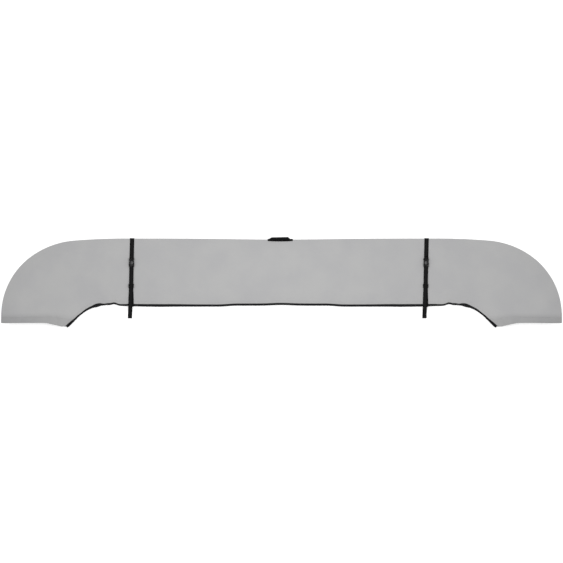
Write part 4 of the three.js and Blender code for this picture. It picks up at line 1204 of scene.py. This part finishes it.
def strap_surface(x):
    """The width of the webbing carried along its path. Its line wanders a little to the side."""
    route = rounded_route(strap_corners(x))
    tail_from = np.flatnonzero(route[:, 0] >= TRIGLIDE["y"])[-1]
    is_tail = np.arange(len(route)) > tail_from
    lean = [read_table(table, route[:, 0]) for table in (STRAP_LEAN, TAIL_LEAN)]
    across = np.linspace(-0.5, 0.5, 5) * STRAP["wide"]
    side = x + np.where(is_tail, lean[1], lean[0])[:, None] + across
    return np.stack([side, route[:, :1] + 0 * side, route[:, 1:] + 0 * side], -1), arc_length(route)[-1]


def strap(side):
    surface, long = strap_surface(STRAP_XS[side])
    made = strip(f"webbing_{side}", surface, WEB)
    settle(made, webbing, "webbing", f"strap_{side}")
    print("the strap's length is", round(long), "mm")
    return made, long


straps = {side: strap(side) for side in STRAP_XS}

# %% [markdown]
# ### Buckles and tri-glides
#
# These solids already have their true shape: a shell with windows for the two prongs, bars for the
# webbing, a frame with two slots. What they lack is the small radius that every moulded edge has, and
# without it plastic looks like cut card. A Weld and a Bevel modifier add that radius without touching
# the mesh. A domed push pad on each buckle is a new piece.

# %% Round the moulded edges
MOULDED = {"edge": 0.4, "segments": 3, "sharper_than": 35, "joined_within": 0.00001}


def round_edges(node, material):
    """Joins a solid's loose corners and bevels every sharp edge."""
    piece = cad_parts[node]
    weld = piece.modifiers.new("join corners", "WELD")
    weld.merge_threshold = MOULDED["joined_within"]
    bevel = piece.modifiers.new("moulded edges", "BEVEL")
    bevel.width, bevel.segments = MOULDED["edge"] * MM, MOULDED["segments"]
    bevel.limit_method, bevel.angle_limit = "ANGLE", math.radians(MOULDED["sharper_than"])
    bevel.harden_normals = False
    piece.data.materials.clear()
    piece.data.materials.append(material)


for side in STRAP_XS:
    for part in ("buckle_socket", "buckle_plug", "triglide"):
        round_edges(f"{part}_{side}", acetal)

# %% Push pads
PAD = {"wide": 13, "long": 16.5, "from_middle": -0.8, "high": 1.3, "edge": 3.2}


def push_pad(side):
    """A pillow flattened to a low dome, on the lower half of a buckle."""
    x = STRAP_XS[side]
    half = PAD["edge"] + 0.1
    points, faces = pillow(rounded_outline(PAD["wide"], PAD["long"], 1, 3.0), -half, half, PAD["edge"])
    points = points * np.array([1, 1, PAD["high"] / PAD["edge"]])
    lean = read_table(STRAP_LEAN, BUCKLE["y"])
    top = web_rest(x, BUCKLE["y"]) + BUCKLE["thick"]
    place = np.array([x + lean, BUCKLE["y"] + PAD["from_middle"], top])
    # The pad's finish is painted a little lighter than the buckle: a painted highlight, on top of its real
    # gloss.
    settle(make_object(f"push_pad_{side}", to_frame(points + place), faces), painted_highlight_acetal, "hardware")


for side in STRAP_XS:
    push_pad(side)

# %% [markdown]
# ## The handle
#
# A short carry handle sits in the middle of the rim: a base strip of webbing sewn over the seam, and a
# grip of webbing folded in two lengthwise, which is sewn flat at its ends and stands off the rim between
# them. Both could be curves swept along the rim, but the section changes on the way. So each is a grid
# of stations whose few corners are listed. Cutting the corners twice makes the turns round, as a
# subdivision would, but leaves the ends where they are.

# %% The handle's two strips
BASE_FOLD = [(0.6, 0.6), (2.2, 1.7), (2.9, 3.4), (2, 5)]  # out from the rim, height
GRIP = {"from": -58, "to": 38, "left_slope": 14, "right_slope": 9, "tilt": 0.02}
GRIP_FOLD = {"thick": 1.1, "apart": 0.65}  # one layer's thickness, and from the middle of the fold to it
GRIP_SEWN = np.array([(-4.6, 9.8), (-1.4, 9.1), (2, 8.2), (5.2, 6.6)])
GRIP_FREE = np.array([(1.8, 8.9), (5, 10.1), (8.2, 11.1), (11.2, 11.6)])


def corners_cut(grid, times=2):
    """Cuts the corners along a grid's second axis: each step gives way to its points at 1/4 and 3/4."""
    for _ in range(times):
        a, b = grid[:, :-1], grid[:, 1:]
        cut = np.stack([a * 0.75 + b * 0.25, a * 0.25 + b * 0.75], 2).reshape(len(grid), -1, 3)
        grid = np.concatenate([grid[:, :1], cut, grid[:, -1:]], axis=1)
    return grid


def evened(grid, count, short=0.0):
    """The same lines across a grid, with their points evenly spread. They can end a little short."""
    pairs = [(arc_length(line), line) for line in grid]
    return np.stack([read_at(np.linspace(0, run[-1] - short, count), run, line) for run, line in pairs])


def base_surface():
    """From the strip's back edge on the floor, round the rim, to its front edge on the front panel."""
    t = np.linspace(-1, 1, 41)
    x = HANDLE["x"] + HANDLE["half"] * t
    reach = HANDLE["reach"] + (HANDLE["end_reach"] - HANDLE["reach"]) * t ** 2

    def at(out, z):
        return np.stack([x, rim_y(x) + out, z + 0 * x], -1)

    def on_front(out):
        return at(out, front_top(x, rim_y(x) + out) + GAP + WEB / 2)

    corners = [at(-HANDLE["reach"], WEB / 2), *[at(*corner) for corner in BASE_FOLD],
               on_front(-HANDLE["shoulder"]), on_front(-reach / 2 - HANDLE["lap"]), on_front(-reach)]
    return evened(corners_cut(np.stack(corners, 1)), 21)


def grip_middle():
    """The middle of the folded grip: between its sewn section and its free one, eased from one to the
    other near both ends. It leans a little, so that its right end stands out further."""
    x = np.linspace(GRIP["from"], GRIP["to"], 57)
    free = ease(x - GRIP["from"], 0, GRIP["left_slope"]) * ease(GRIP["to"] - x, 0, GRIP["right_slope"])
    section = GRIP_SEWN + (GRIP_FREE - GRIP_SEWN) * free[:, None, None]
    y = (rim_y(x) + GRIP["tilt"] * (x - HANDLE["x"]))[:, None] + section[..., 0]
    bent = corners_cut(np.stack([x[:, None] + 0 * y, y, section[..., 1]], -1))
    return evened(bent, 8, GRIP_FOLD["apart"] + GRIP_FOLD["thick"] / 2)


def grip_surface():
    """Under the middle, half a turn round its outer edge, and back over the middle."""
    middle, apart = grip_middle(), GRIP_FOLD["apart"]
    normal = normals_of(middle)
    out = unit(middle[:, -1] - middle[:, -2])
    turn = [middle[:, -1] + apart * (math.cos(a) * out + math.sin(a) * normal[:, -1])
            for a in np.radians([-60, -30, 0, 30, 60])]
    return np.concatenate([middle - apart * normal, np.stack(turn, 1), (middle + apart * normal)[:, ::-1]], 1)


handle_base = strip("handle_base_web", base_surface(), WEB)
handle_grip = strip("handle_grip_web", grip_surface(), GRIP_FOLD["thick"])
settle(handle_base, webbing, "webbing", "handle_base")
settle(handle_grip, webbing, "webbing", "handle_grip")

# %% Stitches in the webbing
BOX = {"from": 11, "to": 28, "wide": 14, "lean_at": 20}  # past the buckle's upper end
TAIL_ROWS = {"y": (TAIL["end"] + 3, TAIL["end"] + 10), "half": 8, "z": 2 * LAYER - 0.45}


def line_on(corners, top):
    """A straight line of stitches between corners (x, y) on a surface whose height is top(x, y)."""
    corners = np.array(corners, float)
    run = arc_length(corners)
    plan = read_at(np.linspace(0, run[-1], 24), run, corners)
    return np.column_stack([plan, top(plan[:, 0], plan[:, 1])])


def box_stitch(x, low, high, wide, top):
    """A box with a cross in it, as where webbing is sewn to itself."""
    left, right = x - wide / 2, x + wide / 2
    lines = [[(left, low), (right, low)], [(left, high), (right, high)], [(left, low), (left, high)],
             [(right, low), (right, high)], [(left, low), (right, high)], [(left, high), (right, low)]]
    return [line_on(line, top) for line in lines]


def strap_stitches(side):
    """The box under the buckle's upper half, and two lines across the folded tail."""
    x, start = STRAP_XS[side], BUCKLE["y"] + BUCKLE["half"]
    at_box = x + read_table(STRAP_LEAN, start + BOX["lean_at"])
    low, high = start + BOX["from"], start + BOX["to"]
    lines = box_stitch(at_box, low, high, BOX["wide"], lambda _, y: web_middle(x, y, 2) + WEB / 2)
    left, right = [x + TAIL_LEAN[0][1] + side * TAIL_ROWS["half"] for side in (-1, 1)]
    return lines + [line_on([(left, y), (right, y)], lambda px, _: TAIL_ROWS["z"] + 0 * px)
                    for y in TAIL_ROWS["y"]]


def handle_stitches():
    """Two lines of stitches along the grip, near its edges, on its upper face."""
    middle = grip_middle()
    normal = normals_of(middle)
    top = middle + normal * (GRIP_FOLD["apart"] + GRIP_FOLD["thick"] / 2)
    return [(top[3:-3, row], normal[3:-3, row]) for row in (1, -2)]


up = np.array([[0, 0, 1.0]])
web_lines = [(line, np.repeat(up, len(line), 0)) for side in STRAP_XS for line in strap_stitches(side)]
points, faces = merged([stitch_row(line, normal, 1.0) for line, normal in web_lines + handle_stitches()])
web_stitches = make_object("web_stitches", to_frame(points), faces)
settle(web_stitches, black_thread, "webbing")

# %% [markdown]

# %% [markdown]
# ## Floor, light and camera
#
# A plain pale floor, and soft light from everywhere with one large lamp above the middle, so that the
# ends are a little darker than the middle. Open floor is white to the camera: its own pale colour is
# topped up with light that only the camera sees, and the shadow next to the cloth stays in it.

# %% Floor and world
FLOOR = {"half": 16.0, "topped_up": 0.42}


def white_rays(tree):
    """1 for rays from the camera, from a gloss and through glass, and 0 for the light on the object."""
    kinds = add_node(tree, "ShaderNodeLightPath").outputs
    gloss = reckoned(tree, "MAXIMUM", kinds["Is Camera Ray"], kinds["Is Glossy Ray"])
    return reckoned(tree, "MAXIMUM", gloss, kinds["Is Transmission Ray"])


def floor_material():
    material, tree = new_material("matt white backdrop paper")
    seen = add_node(tree, "ShaderNodeLightPath").outputs["Is Camera Ray"]
    shade(tree, {"Base Color": linear("#f4f4f4"), "Roughness": 0.95, "Specular IOR Level": 0.1,
                 "Emission Color": linear("#ffffff"),
                 "Emission Strength": reckoned(tree, "MULTIPLY", seen, FLOOR["topped_up"])})
    return material


corner = np.array([[-1, -1], [1, -1], [1, 1], [-1, 1]]) * FLOOR["half"]
floor = make_object("floor", np.column_stack([corner, np.zeros(4)]), [np.array([[0, 1, 2, 3]])])
floor.data.polygons.foreach_set("use_smooth", np.zeros(1, bool))
floor.data.materials.append(floor_material())

world = bpy.data.worlds.new("soft white room")
world.use_nodes = True
bpy.context.scene.world = world
world.node_tree.nodes.clear()
AMBIENT = 0.765
level = between(world.node_tree, white_rays(world.node_tree), AMBIENT, 1.0)
sky = add_node(world.node_tree, "ShaderNodeBackground", {"Color": linear("#ffffff"), "Strength": level})
add_node(world.node_tree, "ShaderNodeOutputWorld", {"Surface": sky.outputs["Background"]})

# %% Lamp and camera
LAMP = {"power": 9.8, "size": 1.2, "at": (0.0, 0.15, 1.9)}
lamp = bpy.data.lights.new("softbox", "AREA")
lamp.shape, lamp.size, lamp.energy = "DISK", LAMP["size"], LAMP["power"]
placed("softbox", lamp, LAMP["at"])

VIEW = {"at": (0.0, 0.0027, 3.0), "wide": 2.6118}
camera = placed("camera", bpy.data.cameras.new("camera"), VIEW["at"])
camera.data.type, camera.data.ortho_scale = "ORTHO", VIEW["wide"]
bpy.context.scene.camera = camera
bpy.context.scene.view_settings.view_transform = "Standard"
